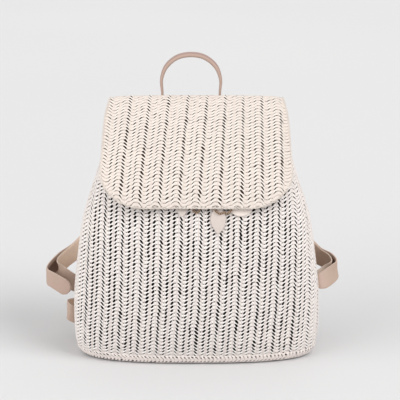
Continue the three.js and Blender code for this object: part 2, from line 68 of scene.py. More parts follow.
# Sizes of the leather and the cord
STRAP_WIDTH = 20
STRAP_THICKNESS = 2.4
STRIP_AROUND = 16
STRIP_EDGE_POWER = 0.35
STRIP_FACE_POWER = 0.55
STRIP_TIP_LEAST = 0.02
STRAP_SPREAD = 46
STRAP_REACH = {"left": 36, "right": 25}
PLY_GAP = 0.8
KEEPER_LENGTH = 8
KEEPER_WALL = 2
KEEPER_ROW = 3
KEEPER_HOLD = 0.35
HANDLE_WIDTH = 16
HANDLE_THICKNESS = 2.8
HANDLE_SPAN = 71
HANDLE_RISE = 46.5
HANDLE_FOOT = 22
HANDLE_FOOT_BELOW_TOP = 8
HANDLE_OFFSET = -6.3
HANDLE_TWIST = (0.03, 0.15)
HANDLE_FOLD = 2.0
TAB_WIDTH = 16
TAB_LENGTH = 28
TAB_THICKNESS = 1.6
TAB_PLACES = {"right": (24, 168), "left": (-15.4, 185.5)}
CORD_DIAMETER = 2.6
CLEARANCE = 0.4


def columns(names, rows):
    """The named columns of a table, each as an array."""
    return dict(zip(names.split(), np.array(rows, float).T))


# Half width, front and back of the bag, as shares of its width and depth, by share of its height
SECTIONS = columns("height half front back", [
    (0.0, 0.914, 0.403, 0.355),
    (0.014, 0.95, 0.435, 0.387),
    (0.042, 0.982, 0.468, 0.411),
    (0.087, 0.996, 0.5, 0.427),
    (0.163, 1.0, 0.528, 0.44),
    (0.243, 0.996, 0.544, 0.448),
    (0.333, 0.979, 0.548, 0.452),
    (0.458, 0.946, 0.537, 0.452),
    (0.542, 0.918, 0.513, 0.452),
    (0.625, 0.871, 0.469, 0.452),
    (0.705, 0.814, 0.379, 0.45),
    (0.785, 0.764, 0.218, 0.448),
    (0.833, 0.736, 0.097, 0.445),
    (0.903, 0.707, -0.1, 0.443),
    (0.973, 0.68, -0.33, 0.44),
])

# Flap's line over the ridge, as shares of the bag's depth and height
FLAP_RIDGE = columns("depth height", [(0.443, 0.885), (0.441, 0.93), (0.428, 0.967), (0.387, 0.98)])

# Half width and droop of the flap's sides, from its top to its lower edge
FLAP_SIDES = columns("along half droop", [
    (0, 0.9, 0.3),
    (0.17, 0.93, 0.28),
    (0.35, 0.975, 0.45),
    (0.6, 0.99, 0.8),
    (1, 1.0, 1),
])

# Routes of the straps from the top of the back: out and up as shares of the half width and height,
# reach past the side and distance behind as shares of their sizes, and lean in degrees
STRAPS = {
    "left": columns("out reach behind up lean", [
        (0.16, 0, 0.015, 0.858, 0),
        (0.25, 0, 0.025, 0.8, 0),
        (0.42, 0, 0.09, 0.69, 0),
        (0.65, 0, 0.23, 0.545, 0),
        (0.86, 0, 0.24, 0.42, 0),
        (1, 0, 0.18, 0.35, 0),
        (1, 0.42, 0.02, 0.312, 0),
        (1, 0.6, -0.14, 0.288, 0),
        (1, 0.47, -0.28, 0.265, 0),
        (1, 0.22, -0.34, 0.241, 0),
        (1, 0.03, -0.3, 0.226, 0),
        (0.93, 0, -0.14, 0.208, 0),
        (0.815, 0, 0.1, 0.182, 0),
        (0.745, 0, 0.22, 0.154, 0),
        (0.785, 0, 0.32, 0.13, 0),
        (0.915, 0, 0.23, 0.118, 0),
        (1, 0.14, 0.01, 0.116, 0),
        (1, 0.33, -0.2, 0.12, 0),
        (1, 0.27, -0.35, 0.112, 0),
        (1, 0.08, -0.36, 0.098, 0),
        (0.965, 0, -0.29, 0.09, 0),
        (0.91, 0, -0.25, 0.086, 0),
        (0.84, 0, -0.19, 0.084, 0),
        (0.77, 0, -0.13, 0.084, 0),
    ]),
    "right": columns("out reach behind up lean", [
        (0.16, 0, 0.015, 0.858, 0),
        (0.25, 0, 0.025, 0.8, 0),
        (0.42, 0, 0.09, 0.67, 0),
        (0.65, 0, 0.22, 0.52, 0),
        (0.86, 0, 0.24, 0.395, 0),
        (1, 0.06, 0.2, 0.325, 0),
        (1, 0.56, 0.01, 0.304, 0),
        (1, 0.72, -0.18, 0.286, 5),
        (1, 0.44, -0.34, 0.266, 25),
        (1, 0.1, -0.49, 0.254, 35),
        (0.985, 0, -0.36, 0.246, 25),
        (0.955, 0, -0.14, 0.228, 10),
        (0.89, 0, 0.03, 0.2, 0),
        (0.79, 0, 0.05, 0.163, 0),
        (0.68, 0, -0.03, 0.125, 0),
        (0.58, 0, -0.035, 0.1, 0),
    ]),
}
TAILS = {
    "left": columns("out reach behind up lean", [
        (1, 0.02, 0.315, 0.345, 0),
        (1, 0.55, 0.24, 0.302, 0),
        (1, 0.91, 0.03, 0.266, 0),
        (1, 1, -0.14, 0.256, 0),
        (1, 0.96, -0.31, 0.253, 0),
        (1, 0.8, -0.47, 0.25, 0),
        (1, 0.5, -0.63, 0.236, 0),
        (1, 0.2, -0.73, 0.216, 0),
    ]),
    "right": columns("out reach behind up lean", [
        (1, 0.1, 0.3, 0.325, 0),
        (1, 0.74, 0.09, 0.304, 0),
        (1, 0.98, -0.2, 0.285, 5),
        (1, 0.56, -0.47, 0.262, 25),
        (1, 0.14, -0.64, 0.25, 35),
        (0.985, 0, -0.64, 0.245, 30),
    ]),
}

# One half of the carry loop's arch from its foot, as shares of its half span and rise
ARCH_SIDE = columns("out rise", [(0.98, 0.06), (1, 0.34), (0.85, 0.66), (0.47, 0.9)])
FOOT_OUT = 0.965

# Bends of one side of a leaf tab, as shares of its half width and half length
LEAF_SIDE = columns("across along", [(0.55, 1), (1.15, 0.55), (1, 0), (0.8, -0.62), (0, -1)])

# Routes of the drawcord's ends, in metres
CORD_ROUTES = {
    "right": [
        (0.009, -0.0211, 0.234),
        (0.011, -0.0296, 0.226),
        (0.014, -0.0398, 0.215),
        (0.018, -0.0477, 0.205),
        (0.0215, -0.0535, 0.195),
        (0.0236, -0.0582, 0.1846),
    ],
    "left": [
        (-0.007, -0.0211, 0.234),
        (-0.008, -0.0296, 0.226),
        (-0.0105, -0.0398, 0.215),
        (-0.014, -0.0489, 0.2034),
    ],
}

# Turns of cord over the tabs: distance out from the front, and places across and up
CORD_WRAPS = {
    "right": {
        "out": 3.4,
        "route": [
            (17, 185),
            (21, 180),
            (25.5, 177),
            (30, 178.2),
            (34, 177.2),
            (38.5, 181),
            (41, 185),
        ],
    },
    "left": {
        "out": 1.7,
        "route": [
            (-6.5, 186),
            (-4, 181.5),
            (-1.4, 178.6),
            (1, 177.6),
            (3.2, 180.5),
            (4.6, 186),
        ],
    },
}

# Lip of pale leather under the flap's hem
TONGUE_MIDDLE = 49
TONGUE_HALF = 11.6
TONGUE_FOOT = 173
TONGUE_TOP = 186
TONGUE_BOW = 5.2
TONGUE_BELLY = 0.8
TONGUE_OUT = 1.5
TONGUE_BACK = 0.7

# One repeat of the weave: how high its strand runs on the body and on the flap, and half the
# strand's height on each. A strand is narrow beside a hole, and wider than half the rows' pitch
# where it is tied to the rows above and below.
REPEAT = 21.7
ROW_PITCH = 4.335
STRAND = columns("across body_up flap_up body flap", [
    (0.0, 0.0, 0, 1.5, 2.1),
    (1.1, 0.12, 0, 2.75, 2.8),
    (2.3, 0.4, 0.2, 1.06, 1.78),
    (3.5, 1.0, 1.15, 0.6, 1.32),
    (4.5, 1.6, 2.05, 0.94, 1.68),
    (5.4, 2.1, 2.5, 2.45, 2.6),
    (6.6, 2.5, 2.7, 2.9, 2.9),
    (7.7, 3.0, 2.95, 2.55, 2.6),
    (8.7, 3.5, 3.4, 0.95, 1.58),
    (9.65, 4.05, 4.35, 0.6, 1.1),
    (10.6, 4.65, 5.3, 0.98, 1.58),
    (11.5, 5.15, 5.75, 2.7, 2.6),
    (12.6, 5.6, 6.05, 1.6, 1.85),
    (13.8, 5.8, 6.1, 2.85, 2.8),
    (15.0, 5.7, 5.95, 2.7, 2.7),
    (15.8, 5.3, 5.5, 1.6, 1.9),
    (16.7, 4.45, 4.6, 0.7, 1.0),
    (17.7, 3.35, 3.45, 0.64, 0.95),
    (18.6, 2.3, 2.35, 1.04, 1.34),
    (19.5, 1.3, 1.3, 2.8, 2.9),
    (20.7, 0.3, 0.3, 2.6, 2.8),
])
OPEN_HALF = 0.75
CLOSED_HALF = 2.28
TIED_HALF = 2.9
TIED_MARGIN = 0.3
STRAND_BODY = 0.45
STRAND_LIFT = 0.4
STRAND_SINK = 0.1
STRAND_TILT = 0.1
STRAND_THINNING = 0.55
STRAND_CROWN = 0.15
WEAVE_BASE = -0.6
COLUMN_SWAY = 0.25
ROW_SWAY = 0.16
WIDTH_SCATTER = 0.1
WIDTH_DRIFT = 0.14
LIFT_SCATTER = 0.04
TONE_DRIFT = 0.3
# Share of the straw's painted tie shade that the round tubes get.
TUBE_TIED_SHADE = 0.6
STRAND_RING = columns("across out", [(-1, 0), (-0.62, 0.8), (0, 1), (0.62, 0.8), (1, 0)])


# Shapes of the solids


def smooth(table, along, column, at):
    """Smooth values of one column of a table, which never swing past its rows."""
    places, values = table[along], table[column]
    slopes = np.diff(values) / np.diff(places)
    before = np.concatenate([slopes[:1], slopes])
    after = np.concatenate([slopes, slopes[-1:]])
    product = before * after
    knots = np.where(product > 0, 2 * product / np.where(product > 0, before + after, 1), 0)
    place = np.clip(at, places[0], places[-1])
    i = np.clip(np.searchsorted(places, place, side="right") - 1, 0, len(places) - 2)
    span = places[i + 1] - places[i]
    t = (place - places[i]) / span
    drift = 3 * t * t - 2 * t**3
    bend = knots[i] * (1 - t) - knots[i + 1] * t
    return values[i] * (1 - drift) + values[i + 1] * drift + span * t * (1 - t) * bend


def smoothstep(low, high, at):
    """From 0 at low to 1 at high, with soft ends."""
    t = np.clip((np.asarray(at, float) - low) / (high - low), 0, 1)
    return t * t * (3 - 2 * t)


def unit(vectors):
    """Vectors of length 1 in the same directions."""
    return vectors / np.maximum(np.linalg.norm(vectors, axis=-1, keepdims=True), 1e-9)


def lengths_along(points):
    """Distance of each point of a run from the run's start, measured along it."""
    return np.concatenate([[0], np.cumsum(np.linalg.norm(np.diff(points, axis=0), axis=-1))])


def section(z):
    """Half width, middle of the depth, half depth and back of the bag at a height."""
    share = z / BAG_HEIGHT
    front = smooth(SECTIONS, "height", "front", share) * BAG_DEPTH
    back = smooth(SECTIONS, "height", "back", share) * BAG_DEPTH
    half = smooth(SECTIONS, "height", "half", share) * BAG_WIDTH / 2
    return half, (back - front) / 2, (back + front) / 2, back


def bag_point(angle, z, inset=0.0):
    """Point of the bag's rounded section at an angle about +Z, from +X towards the back."""
    half, middle, depth, _ = section(z)
    across, along = np.cos(angle), np.sin(angle)
    power = 2 / np.where(along < 0, FRONT_ROUNDNESS, BACK_ROUNDNESS)
    x = (half - inset) * np.sign(across) * np.abs(across) ** power
    y = middle + (depth - inset) * np.sign(along) * np.abs(along) ** power
    return np.stack([x, y, np.broadcast_to(z, x.shape)], axis=-1)


class Curve:
    """Smooth curve through points, with slopes that suit their spacing."""

    def __init__(self, points):
        self.points = np.array(points, float)

    def at(self, share):
        p = self.points
        place = np.clip(share, 0, 1) * (len(p) - 1)
        i = np.minimum(place.astype(int), len(p) - 2)
        t = (place - i)[..., None]
        p1, p2 = p[i], p[i + 1]
        p0 = np.where((i > 0)[..., None], p[i - 1], 2 * p[0] - p[1])
        after = np.minimum(i + 2, len(p) - 1)
        p3 = np.where((i + 2 < len(p))[..., None], p[after], 2 * p[-1] - p[-2])
        d0, d1, d2 = (
            np.maximum(np.linalg.norm(b - a, axis=-1, keepdims=True), 1e-4) ** 0.5
            for a, b in ((p0, p1), (p1, p2), (p2, p3))
        )
        m1 = d1 * ((p1 - p0) / d0 - (p2 - p0) / (d0 + d1) + (p2 - p1) / d1)
        m2 = d1 * ((p2 - p1) / d1 - (p3 - p1) / (d1 + d2) + (p3 - p2) / d2)
        t2, t3 = t * t, t**3
        return (2 * t3 - 3 * t2 + 1) * p1 + (t3 - 2 * t2 + t) * m1 + (3 * t2 - 2 * t3) * p2 + (t3 - t2) * m2

    def tangent(self, share):
        step = 1e-4
        return unit(self.at(np.minimum(share + step, 1)) - self.at(np.maximum(share - step, 0)))

    def shares_by_length(self):
        """Total length, and the shares of the curve at even steps of length."""
        count = 800
        shares = np.linspace(0, 1, count + 1)
        lengths = lengths_along(self.at(shares))
        return lengths[-1], np.interp(np.linspace(0, lengths[-1], count + 1), lengths, shares)


# Cloths laid out flat


def lay(cloth, across, up, out):
    """Points of a flat layout put on a cloth, with out measured off its face."""
    step = 0.5
    right = cloth(across + step, up) - cloth(across - step, up)
    above = cloth(across, up + step) - cloth(across, up - step)
    return cloth(across, up) + unit(np.cross(right, above)) * np.asarray(out)[..., None]


def wall_cloth(facing):
    """Layout of the front wall, facing -1, or the back wall, facing 1, and its half widths."""
    turns = np.linspace(0, math.pi / 2, 241)
    levels = np.linspace(0, BAG_HEIGHT, 145)
    grid = bag_point(facing * math.pi / 2 + turns[None], levels[:, None])
    steps = np.linalg.norm(np.diff(grid, axis=1), axis=-1)
    reach = np.concatenate([np.zeros((len(levels), 1)), np.cumsum(steps, axis=1)], axis=1)
    shares = np.linspace(0, 1, 161)
    turn_at = np.array([np.interp(shares * row[-1], row, turns) for row in reach])
    climb = lengths_along(grid[:, 0])

    def half_width(up):
        return np.interp(np.interp(up, climb, levels), levels, reach[:, -1])

    def level(up):
        return np.interp(up, climb, levels)

    def angle(across, up):
        z = level(up)
        row = np.clip(z / levels[1], 0, len(levels) - 1.001)
        share = np.clip(np.abs(across) / half_width(up), 0, 1) * (len(shares) - 1.001)
        i, j = row.astype(int), share.astype(int)
        a, b = row - i, share - j
        low = turn_at[i, j] * (1 - b) + turn_at[i, j + 1] * b
        high = turn_at[i + 1, j] * (1 - b) + turn_at[i + 1, j + 1] * b
        return facing * math.pi / 2 + np.sign(across) * (low * (1 - a) + high * a)

    def cloth(across, up):
        return bag_point(angle(across, up), level(up))

    cloth.half_width = half_width
    cloth.level = level
    cloth.angle = angle
    cloth.climb = lambda z: np.interp(z, levels, climb)
    return cloth


def mouth_height(angle):
    """Height of the mouth's edge at an angle about the bag."""
    return MOUTH_FRONT_HEIGHT + MOUTH_RISE_TO_BACK * (1 + np.sin(angle)) / 2


front_heights = SECTIONS["height"] >= FLAP_EDGE
flap_line = Curve([
    (0, depth * BAG_DEPTH, height * BAG_HEIGHT)
    for depth, height in [
        *zip(FLAP_RIDGE["depth"], FLAP_RIDGE["height"]),
        *zip(-SECTIONS["front"][front_heights][::-1], SECTIONS["height"][front_heights][::-1]),
    ]
])
FLAP_LENGTH, flap_shares = flap_line.shares_by_length()


def flap_cloth(across, up, offset=FLAP_STANDOFF + FLAP_WALL):
    """Layout of the flap's outer face: across from its middle, up from its lower edge."""
    along = np.clip(1 - up / FLAP_LENGTH, 0, 1)
    share = np.interp(along, np.linspace(0, 1, len(flap_shares)), flap_shares)
    base = flap_line.at(share)
    tangent = flap_line.tangent(share)
    normal = np.stack([0 * along, tangent[..., 2], -tangent[..., 1]], axis=-1)
    limit = FLAP_DRAPE * smooth(FLAP_SIDES, "along", "droop", along)
    half, _, depth, _ = section(base[..., 2])
    roundness = np.where(normal[..., 1] > 0, BACK_ROUNDNESS, FRONT_ROUNDNESS)
    sideways = np.minimum(1, np.abs(across) / half)
    fall = depth * (1 - (1 - sideways**roundness) ** (1 / roundness))
    droop = limit * (1 - np.exp(-FLAP_FOLLOW * fall / limit))
    point = base + normal * (offset - droop)[..., None]
    point[..., 0] = across
    return point


def flap_inset(across, up):
    """Distance of a place on the flap from the nearest edge, below zero outside it."""
    along = np.clip(1 - up / FLAP_LENGTH, 0, 1)
    half = smooth(FLAP_SIDES, "along", "half", along) * FLAP_WIDTH / 2
    side = half - np.abs(across)
    over = 1 - side / FLAP_CORNER_WIDTH
    under = 1 - up / FLAP_CORNER_HEIGHT
    corner = (1 - np.hypot(over, under)) * math.sqrt(FLAP_CORNER_WIDTH * FLAP_CORNER_HEIGHT)
    straight = np.minimum(side, up)
    return np.minimum(np.where((over > 0) & (under > 0), corner, straight), FLAP_LENGTH - up)


# Meshes


def piece(name, points, faces, finish, attributes=None, sharp=None):
    """One mesh from points in millimetres, which rides with the bag."""
    mesh = bpy.data.meshes.new(name)
    mesh.from_pydata((np.asarray(points).reshape(-1, 3) * MM).tolist(), [], faces)
    for label, values in (attributes or {}).items():
        mesh.attributes.new(label, "FLOAT", "POINT").data.foreach_set(
            "value", np.asarray(values, np.float32).ravel()
        )
    mesh.polygons.foreach_set("use_smooth", [True] * len(mesh.polygons))
    if sharp is not None:
        mesh.set_sharp_from_angle(angle=math.radians(sharp))
    mesh.materials.append(finish)
    made = bpy.data.objects.new(name, mesh)
    bpy.context.scene.collection.objects.link(made)
    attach(made, "root")
    return made


def ring_faces(first, second):
    """Quads between two rings of corner numbers of equal length."""
    return [
        [int(first[j]), int(second[j]), int(second[j - len(first) + 1]), int(first[j - len(first) + 1])]
        for j in range(len(first))
    ]


def tube_faces(rings, around, closed=False):
    """Faces of a tube through numbered rings, with flat ends unless it closes on itself."""
    number = np.arange(rings * around).reshape(rings, around)
    faces = []
    for r in range(rings - 1):
        faces += ring_faces(number[r], number[r + 1])
    if closed:
        return faces + ring_faces(number[-1], number[0])
    return faces + [number[0].tolist(), number[-1][::-1].tolist()]


def shell_faces(rows, across):
    """Faces of a closed sheet: an outer grid of points and an inner one of the same size."""
    outer = np.arange(rows * across).reshape(rows, across)
    inner = outer + rows * across
    faces = []
    for r in range(rows - 1):
        for c in range(across - 1):
            o = [outer[r, c], outer[r, c + 1], outer[r + 1, c + 1], outer[r + 1, c]]
            i = [inner[r, c], inner[r + 1, c], inner[r + 1, c + 1], inner[r, c + 1]]
            faces += [o, i]
    rims = [
        (outer[0], inner[0]),
        (outer[:, -1], inner[:, -1]),
        (outer[-1, ::-1], inner[-1, ::-1]),
        (outer[::-1, 0], inner[::-1, 0]),
    ]
    for edge, under in rims:
        for k in range(len(edge) - 1):
            faces.append([edge[k], under[k], under[k + 1], edge[k + 1]])
    return [[int(corner) for corner in face] for face in faces]


def upright_columns(across, up):
    """No sideways shift of the weave's columns."""
    return 0.0


def strands(name, cloth, rows, half_width, allowed, closed, finish, shift=upright_columns,
            base=WEAVE_BASE, part="body"):
    """Rows of zigzag straw strands on a cloth, kept where it is allowed.

    closed says from 0 to 1 how far the holes are shut, and shift how far the columns lie sideways.
    """
    repeats = np.arange(-math.ceil(half_width / REPEAT) - 1, math.ceil(half_width / REPEAT) + 1)
    flat_across = (repeats[:, None] * REPEAT + STRAND["across"][None]).ravel()
    shape = (len(rows), len(flat_across))
    row_up = (np.asarray(rows) * ROW_PITCH)[:, None]
    sway = smooth_noise(shape, 5, 2, COLUMN_SWAY)
    across = flat_across[None] + shift(flat_across[None], row_up) + sway
    strand_up = np.tile(STRAND[f"{part}_up"], len(repeats))
    up = row_up + strand_up[None] + smooth_noise(shape, 7, 1, ROW_SWAY)
    shut = closed(across, up)
    open_half = np.tile(STRAND[part], len(repeats))[None] + np.zeros(shape)
    gap = 1 - smoothstep(OPEN_HALF, CLOSED_HALF, open_half)
    wider = RNG.normal(0, WIDTH_SCATTER, shape) * gap + smooth_noise(shape, 9, 3, WIDTH_DRIFT) * gap
    half = open_half + wider + (np.maximum(open_half, CLOSED_HALF) - open_half) * shut
    tied = smoothstep(OPEN_HALF + TIED_MARGIN, TIED_HALF - TIED_MARGIN, half)
    valid = allowed(across, up)

    ring = len(STRAND_RING["across"])
    w, n = STRAND_RING["across"], STRAND_RING["out"]
    lift = base + STRAND_LIFT * (1 - tied) - STRAND_SINK + RNG.normal(0, LIFT_SCATTER, shape)
    body = STRAND_BODY * (1 - STRAND_THINNING * np.clip(shut, 0, 1))
    out = lift[..., None] + body[..., None] * n - STRAND_TILT * w * tied[..., None]
    wide_across = np.repeat(across[..., None], ring, axis=-1)
    wide_up = up[..., None] + w * half[..., None]
    points = lay(cloth, wide_across, wide_up, out)

    beside = np.zeros_like(valid)
    beside[:, 1:] |= valid[:, :-1]
    beside[:, :-1] |= valid[:, 1:]
    valid &= beside
    number = np.cumsum(valid.ravel()).reshape(shape) - 1
    joined = valid[:, :-1] & valid[:, 1:]
    a, b = number[:, :-1][joined] * ring, number[:, 1:][joined] * ring
    quads = np.concatenate([
        np.stack([a + j, b + j, b + (j + 1) % ring, a + (j + 1) % ring], axis=-1) for j in range(ring)
    ])
    padded_valid = np.pad(valid, ((0, 0), (1, 1)))
    starts = number[valid & ~padded_valid[:, :-2]] * ring
    ends = number[valid & ~padded_valid[:, 2:]] * ring
    turn = np.arange(ring)
    faces = quads.tolist() + (starts[:, None] + turn).tolist() + (ends[:, None] + turn[::-1]).tolist()
    tone = np.repeat(RNG.random(len(rows)), shape[1]).reshape(shape)
    tone = tone + smooth_noise(shape, 30, 1, TONE_DRIFT)
    spread = {
        "tone": np.repeat(tone[valid], ring),
        "tied": np.repeat(tied[valid], ring),
        "along": np.repeat(across[valid], ring),
        "grain": np.tile(w + STRAND_CROWN * n, int(valid.sum())),
    }
    return piece(name, points[valid], faces, finish, spread)


def smooth_noise(shape, wide, tall, amount):
    """Seeded noise over rows and stations, smoothed over a number of each."""
    values = RNG.normal(0, 1, shape)
    for axis, size in ((1, wide), (0, tall)):
        if size > 1:
            kernel = np.hanning(size + 2)[1:-1]
            kernel /= np.sqrt((kernel**2).sum())
            values = np.apply_along_axis(lambda row: np.convolve(row, kernel, "same"), axis, values)
    return values * amount


def rounded(values, power):
    """Sines or cosines drawn out towards a square, more so for a smaller power."""
    return np.sign(values) * np.abs(values) ** power


def strip(name, curve, across_at, width, thickness, finish, steps, tip=0.0):
    """Flat leather strip with rounded edges along a curve, and a rounded end where tip is its length."""
    shares = np.linspace(0, 1, steps + 1)
    middle, tangent = curve.at(shares), curve.tangent(shares)
    across = unit(across_at(shares, tangent))
    normal = np.cross(tangent, across)
    thickness = np.broadcast_to(thickness, shares.shape)[:, None]
    half = np.full(len(shares), width / 2)
    if tip:
        left = np.linalg.norm(middle - middle[-1], axis=-1)
        narrowed = np.sqrt(np.clip(1 - (1 - left / tip) ** 2, STRIP_TIP_LEAST, 1))
        half *= np.where(left < tip, narrowed, 1)
    turn = np.arange(STRIP_AROUND) * 2 * math.pi / STRIP_AROUND
    flat = rounded(np.cos(turn), STRIP_EDGE_POWER)
    thick = rounded(np.sin(turn), STRIP_FACE_POWER)
    rings = (
        middle[:, None]
        + across[:, None] * (half[:, None] * flat)[..., None]
        + normal[:, None] * (thickness / 2 * thick)[..., None]
    )
    lengths = lengths_along(middle)
    spread = {
        "along": np.repeat(lengths, STRIP_AROUND),
        "grain": np.tile(flat, len(shares)),
        "face": np.tile(thick, len(shares)),
    }
    faces = [face[::-1] for face in tube_faces(len(shares), STRIP_AROUND)]
    return piece(name, rings, faces, finish, spread)


def round_tube(name, points, radius, finish, around=10, closed=False):
    """Round tube along close points, which may close on itself."""
    points = np.asarray(points, float)
    if closed:
        tangent = unit(np.roll(points, -1, axis=0) - np.roll(points, 1, axis=0))
    else:
        tangent = unit(np.gradient(points, axis=0))
    side = np.zeros_like(tangent)
    side[0] = unit(np.cross(tangent[0], (0.3, 0.2, 0.9)))
    for i in range(1, len(points)):
        side[i] = unit(side[i - 1] - tangent[i] * (side[i - 1] @ tangent[i]))
    other = np.cross(tangent, side)
    turn = np.arange(around) * 2 * math.pi / around
    radius = np.broadcast_to(radius, (len(points),))
    rings = points[:, None] + radius[:, None, None] * (
        side[:, None] * np.cos(turn)[None, :, None] + other[:, None] * np.sin(turn)[None, :, None]
    )
    faces = [face[::-1] for face in tube_faces(len(points), around, closed)]
    lengths = lengths_along(points)
    spread = {
        "along": np.repeat(lengths, around),
        "grain": np.tile(turn, len(points)),
        "tied": np.full(len(points) * around, TUBE_TIED_SHADE),
    }
    return piece(name, rings, faces, finish, spread)


# Finishes


class Socket:
    """A shader value that can be reckoned with: each operation adds its node."""

    def __init__(self, tree, link):
        self.tree = tree
        self.link = link

    def math(self, operation, *values):
        return node(self.tree, "ShaderNodeMath", {"operation": operation},
                    dict(enumerate((self, *values))))

    def __add__(self, other):
        return self.math("ADD", other)

    def __sub__(self, other):
        return self.math("SUBTRACT", other)

    def __mul__(self, other):
        return self.math("MULTIPLY", other)

    def __rsub__(self, other):
        return node(self.tree, "ShaderNodeMath", {"operation": "SUBTRACT"}, {0: other, 1: self})

    __radd__ = __add__
    __rmul__ = __mul__

    def ramp(self, low, high):
        """From 0 at low to 1 at high, with soft ends."""
        return node(self.tree, "ShaderNodeMapRange", {"interpolation_type": "SMOOTHSTEP"},
                    {0: self, 1: low, 2: high, 3: 0, 4: 1})


def node(tree, kind, settings=None, values=None, output=0):
    """One node of a kind, with its settings first and then its sockets' values or links."""
    made = tree.nodes.new(kind)
    for name, value in (settings or {}).items():
        setattr(made, name, value)
    for name, value in (values or {}).items():
        if isinstance(value, Socket):
            tree.links.new(value.link, made.inputs[name])
        elif value is not None:
            made.inputs[name].default_value = value
    return Socket(tree, made.outputs[output])


def mix(first, second, share):
    """Colour between two, each a colour or a link."""
    tree = share.tree
    return node(tree, "ShaderNodeMix", {"data_type": "RGBA"}, {0: share, 6: first, 7: second}, output=2)


def new_finish(name, roughness, **constants):
    """New material with its tree and its shader, whose unchanging values are set on its sockets."""
    material = bpy.data.materials.new(name)
    material.use_nodes = True
    tree = material.node_tree
    shader = tree.nodes["Principled BSDF"]
    shader.inputs["Roughness"].default_value = roughness
    for label, value in constants.items():
        shader.inputs[label.replace("_", " ")].default_value = value
    return material, tree, shader


def attribute(tree, name):
    """Value that the mesh carries at each point under a name."""
    return node(tree, "ShaderNodeAttribute", {"attribute_name": name}, output="Fac")


def noise(tree, place, scale, detail=3.0, roughness=0.55):
    """Soft random value from 0 to 1 over a place."""
    return node(tree, "ShaderNodeTexNoise", None,
                {"Vector": place, "Scale": scale, "Detail": detail, "Roughness": roughness}, output="Fac")


def vector(tree, x, y, z):
    """Place made of three values."""
    return node(tree, "ShaderNodeCombineXYZ", None, {0: x, 1: y, 2: z})


def bump(tree, height, distance, strength):
    """Fine relief from a height."""
    return node(tree, "ShaderNodeBump", None,
                {"Strength": strength, "Distance": distance, "Height": height})


def connect(shader, **links):
    """Links of the values that change over the surface."""
    for label, value in links.items():
        shader.id_data.links.new(value.link, shader.inputs[label.replace("_", " ")])


def place_in_bag(tree):
    """Place on the object itself."""
    return node(tree, "ShaderNodeTexCoord", output="Object")


def straw_finish(name, pale, warm, tied_shade):
    """Flat paper straw with fine fibres: a painted highlight beside the holes, partly its own pale colour,
    and painted shade where it is tied and towards each strand's edges.
    """
    material, tree, shader = new_finish(name, 0.62, Specular_IOR_Level=0.3)
    along, grain, tone, tied = (attribute(tree, label) for label in ("along", "grain", "tone", "tied"))
    fibres = noise(tree, vector(tree, along * 0.35, grain * 2.2, tone * 40), scale=4, roughness=0.6)
    strand_tone = noise(tree, vector(tree, along * 0.05, tone * 25, 0), scale=3, detail=1)
    patches = noise(tree, place_in_bag(tree), scale=14, detail=2)
    # Painted shade where strands are tied; the pale colour beside the holes is partly a painted highlight.
    colour = mix((*pale, 1), (*tied_shade, 1), tied * 0.8 + 0.1 * fibres)
    colour = mix(colour, (*warm, 1), strand_tone.ramp(0.45, 0.75) * 0.35 + patches.ramp(0.5, 0.8) * 0.3)
    colour = mix(colour, (*[0.8 * c for c in tied_shade], 1), fibres.ramp(0.5, 0.75) * 0.25)
    # Painted shade: each strand darker towards its edges.
    edge = grain.math("ABSOLUTE").ramp(0.8, 1.0)
    colour = mix(colour, (*[0.6 * c for c in warm], 1), edge * 0.5)
    connect(shader, Base_Color=colour, Roughness=0.5 + 0.25 * fibres,
            Normal=bump(tree, fibres + edge * -0.3, distance=0.0003, strength=0.6))
    return material


def plain_cloth(name, colour, dark):
    """Woven lining seen through the holes."""
    material, tree, shader = new_finish(name, 0.9, Specular_IOR_Level=0.15)
    place = place_in_bag(tree)
    threads = noise(tree, place, scale=900, detail=1)
    patches = noise(tree, place, scale=12, detail=2)
    mixed = mix((*colour, 1), (*dark, 1), threads.ramp(0.35, 0.65) * 0.6 + patches.ramp(0.4, 0.7) * 0.3)
    connect(shader, Base_Color=mixed, Normal=bump(tree, threads, distance=0.0003, strength=0.5))
    return material


def leather_finish(name, face, worn, back, edge, roughness=0.5, back_fade=(0.93, 1.0)):
    """Smooth leather with a fine grain, soft mottling, a back colour that carries painted light on the left
    strap and painted shade on the right strap and strap ends, and paler edges, partly their own colour and
    partly a painted highlight.

    back_fade says how far out from the middle of a strip the back's colour gives way to the face's.
    """
    material, tree, shader = new_finish(name, roughness, Specular_IOR_Level=0.4)
    place = place_in_bag(tree)
    pebbles = node(tree, "ShaderNodeTexVoronoi", {"feature": "DISTANCE_TO_EDGE"},
                   {"Vector": place, "Scale": 900.0}, output="Distance")
    grain = noise(tree, place, scale=420, detail=4)
    clouds = noise(tree, place, scale=26)
    colour = mix((*face, 1), (*worn, 1), clouds.ramp(0.4, 0.7) * 0.55)
    aside = attribute(tree, "grain").math("ABSOLUTE")
    # The back's colour: painted light on the left strap's leather, painted shade on the right strap's and
    # the strap ends'.
    colour = mix(colour, (*back, 1), attribute(tree, "face").ramp(0.2, 0.8) * (1 - aside.ramp(*back_fade)))
    colour = mix(colour, (*[0.8 * c for c in face], 1), grain.ramp(0.5, 0.8) * 0.3)
    # Paler edges: partly their own colour, partly a painted highlight.
    colour = mix(colour, (*edge, 1), aside.ramp(0.93, 0.99) * 0.8)
    height = pebbles.ramp(0.0, 0.25) * 0.5 + grain
    connect(shader, Base_Color=colour, Roughness=roughness - 0.1 + 0.2 * grain,
            Normal=bump(tree, height, distance=0.00012, strength=0.45))
    return material


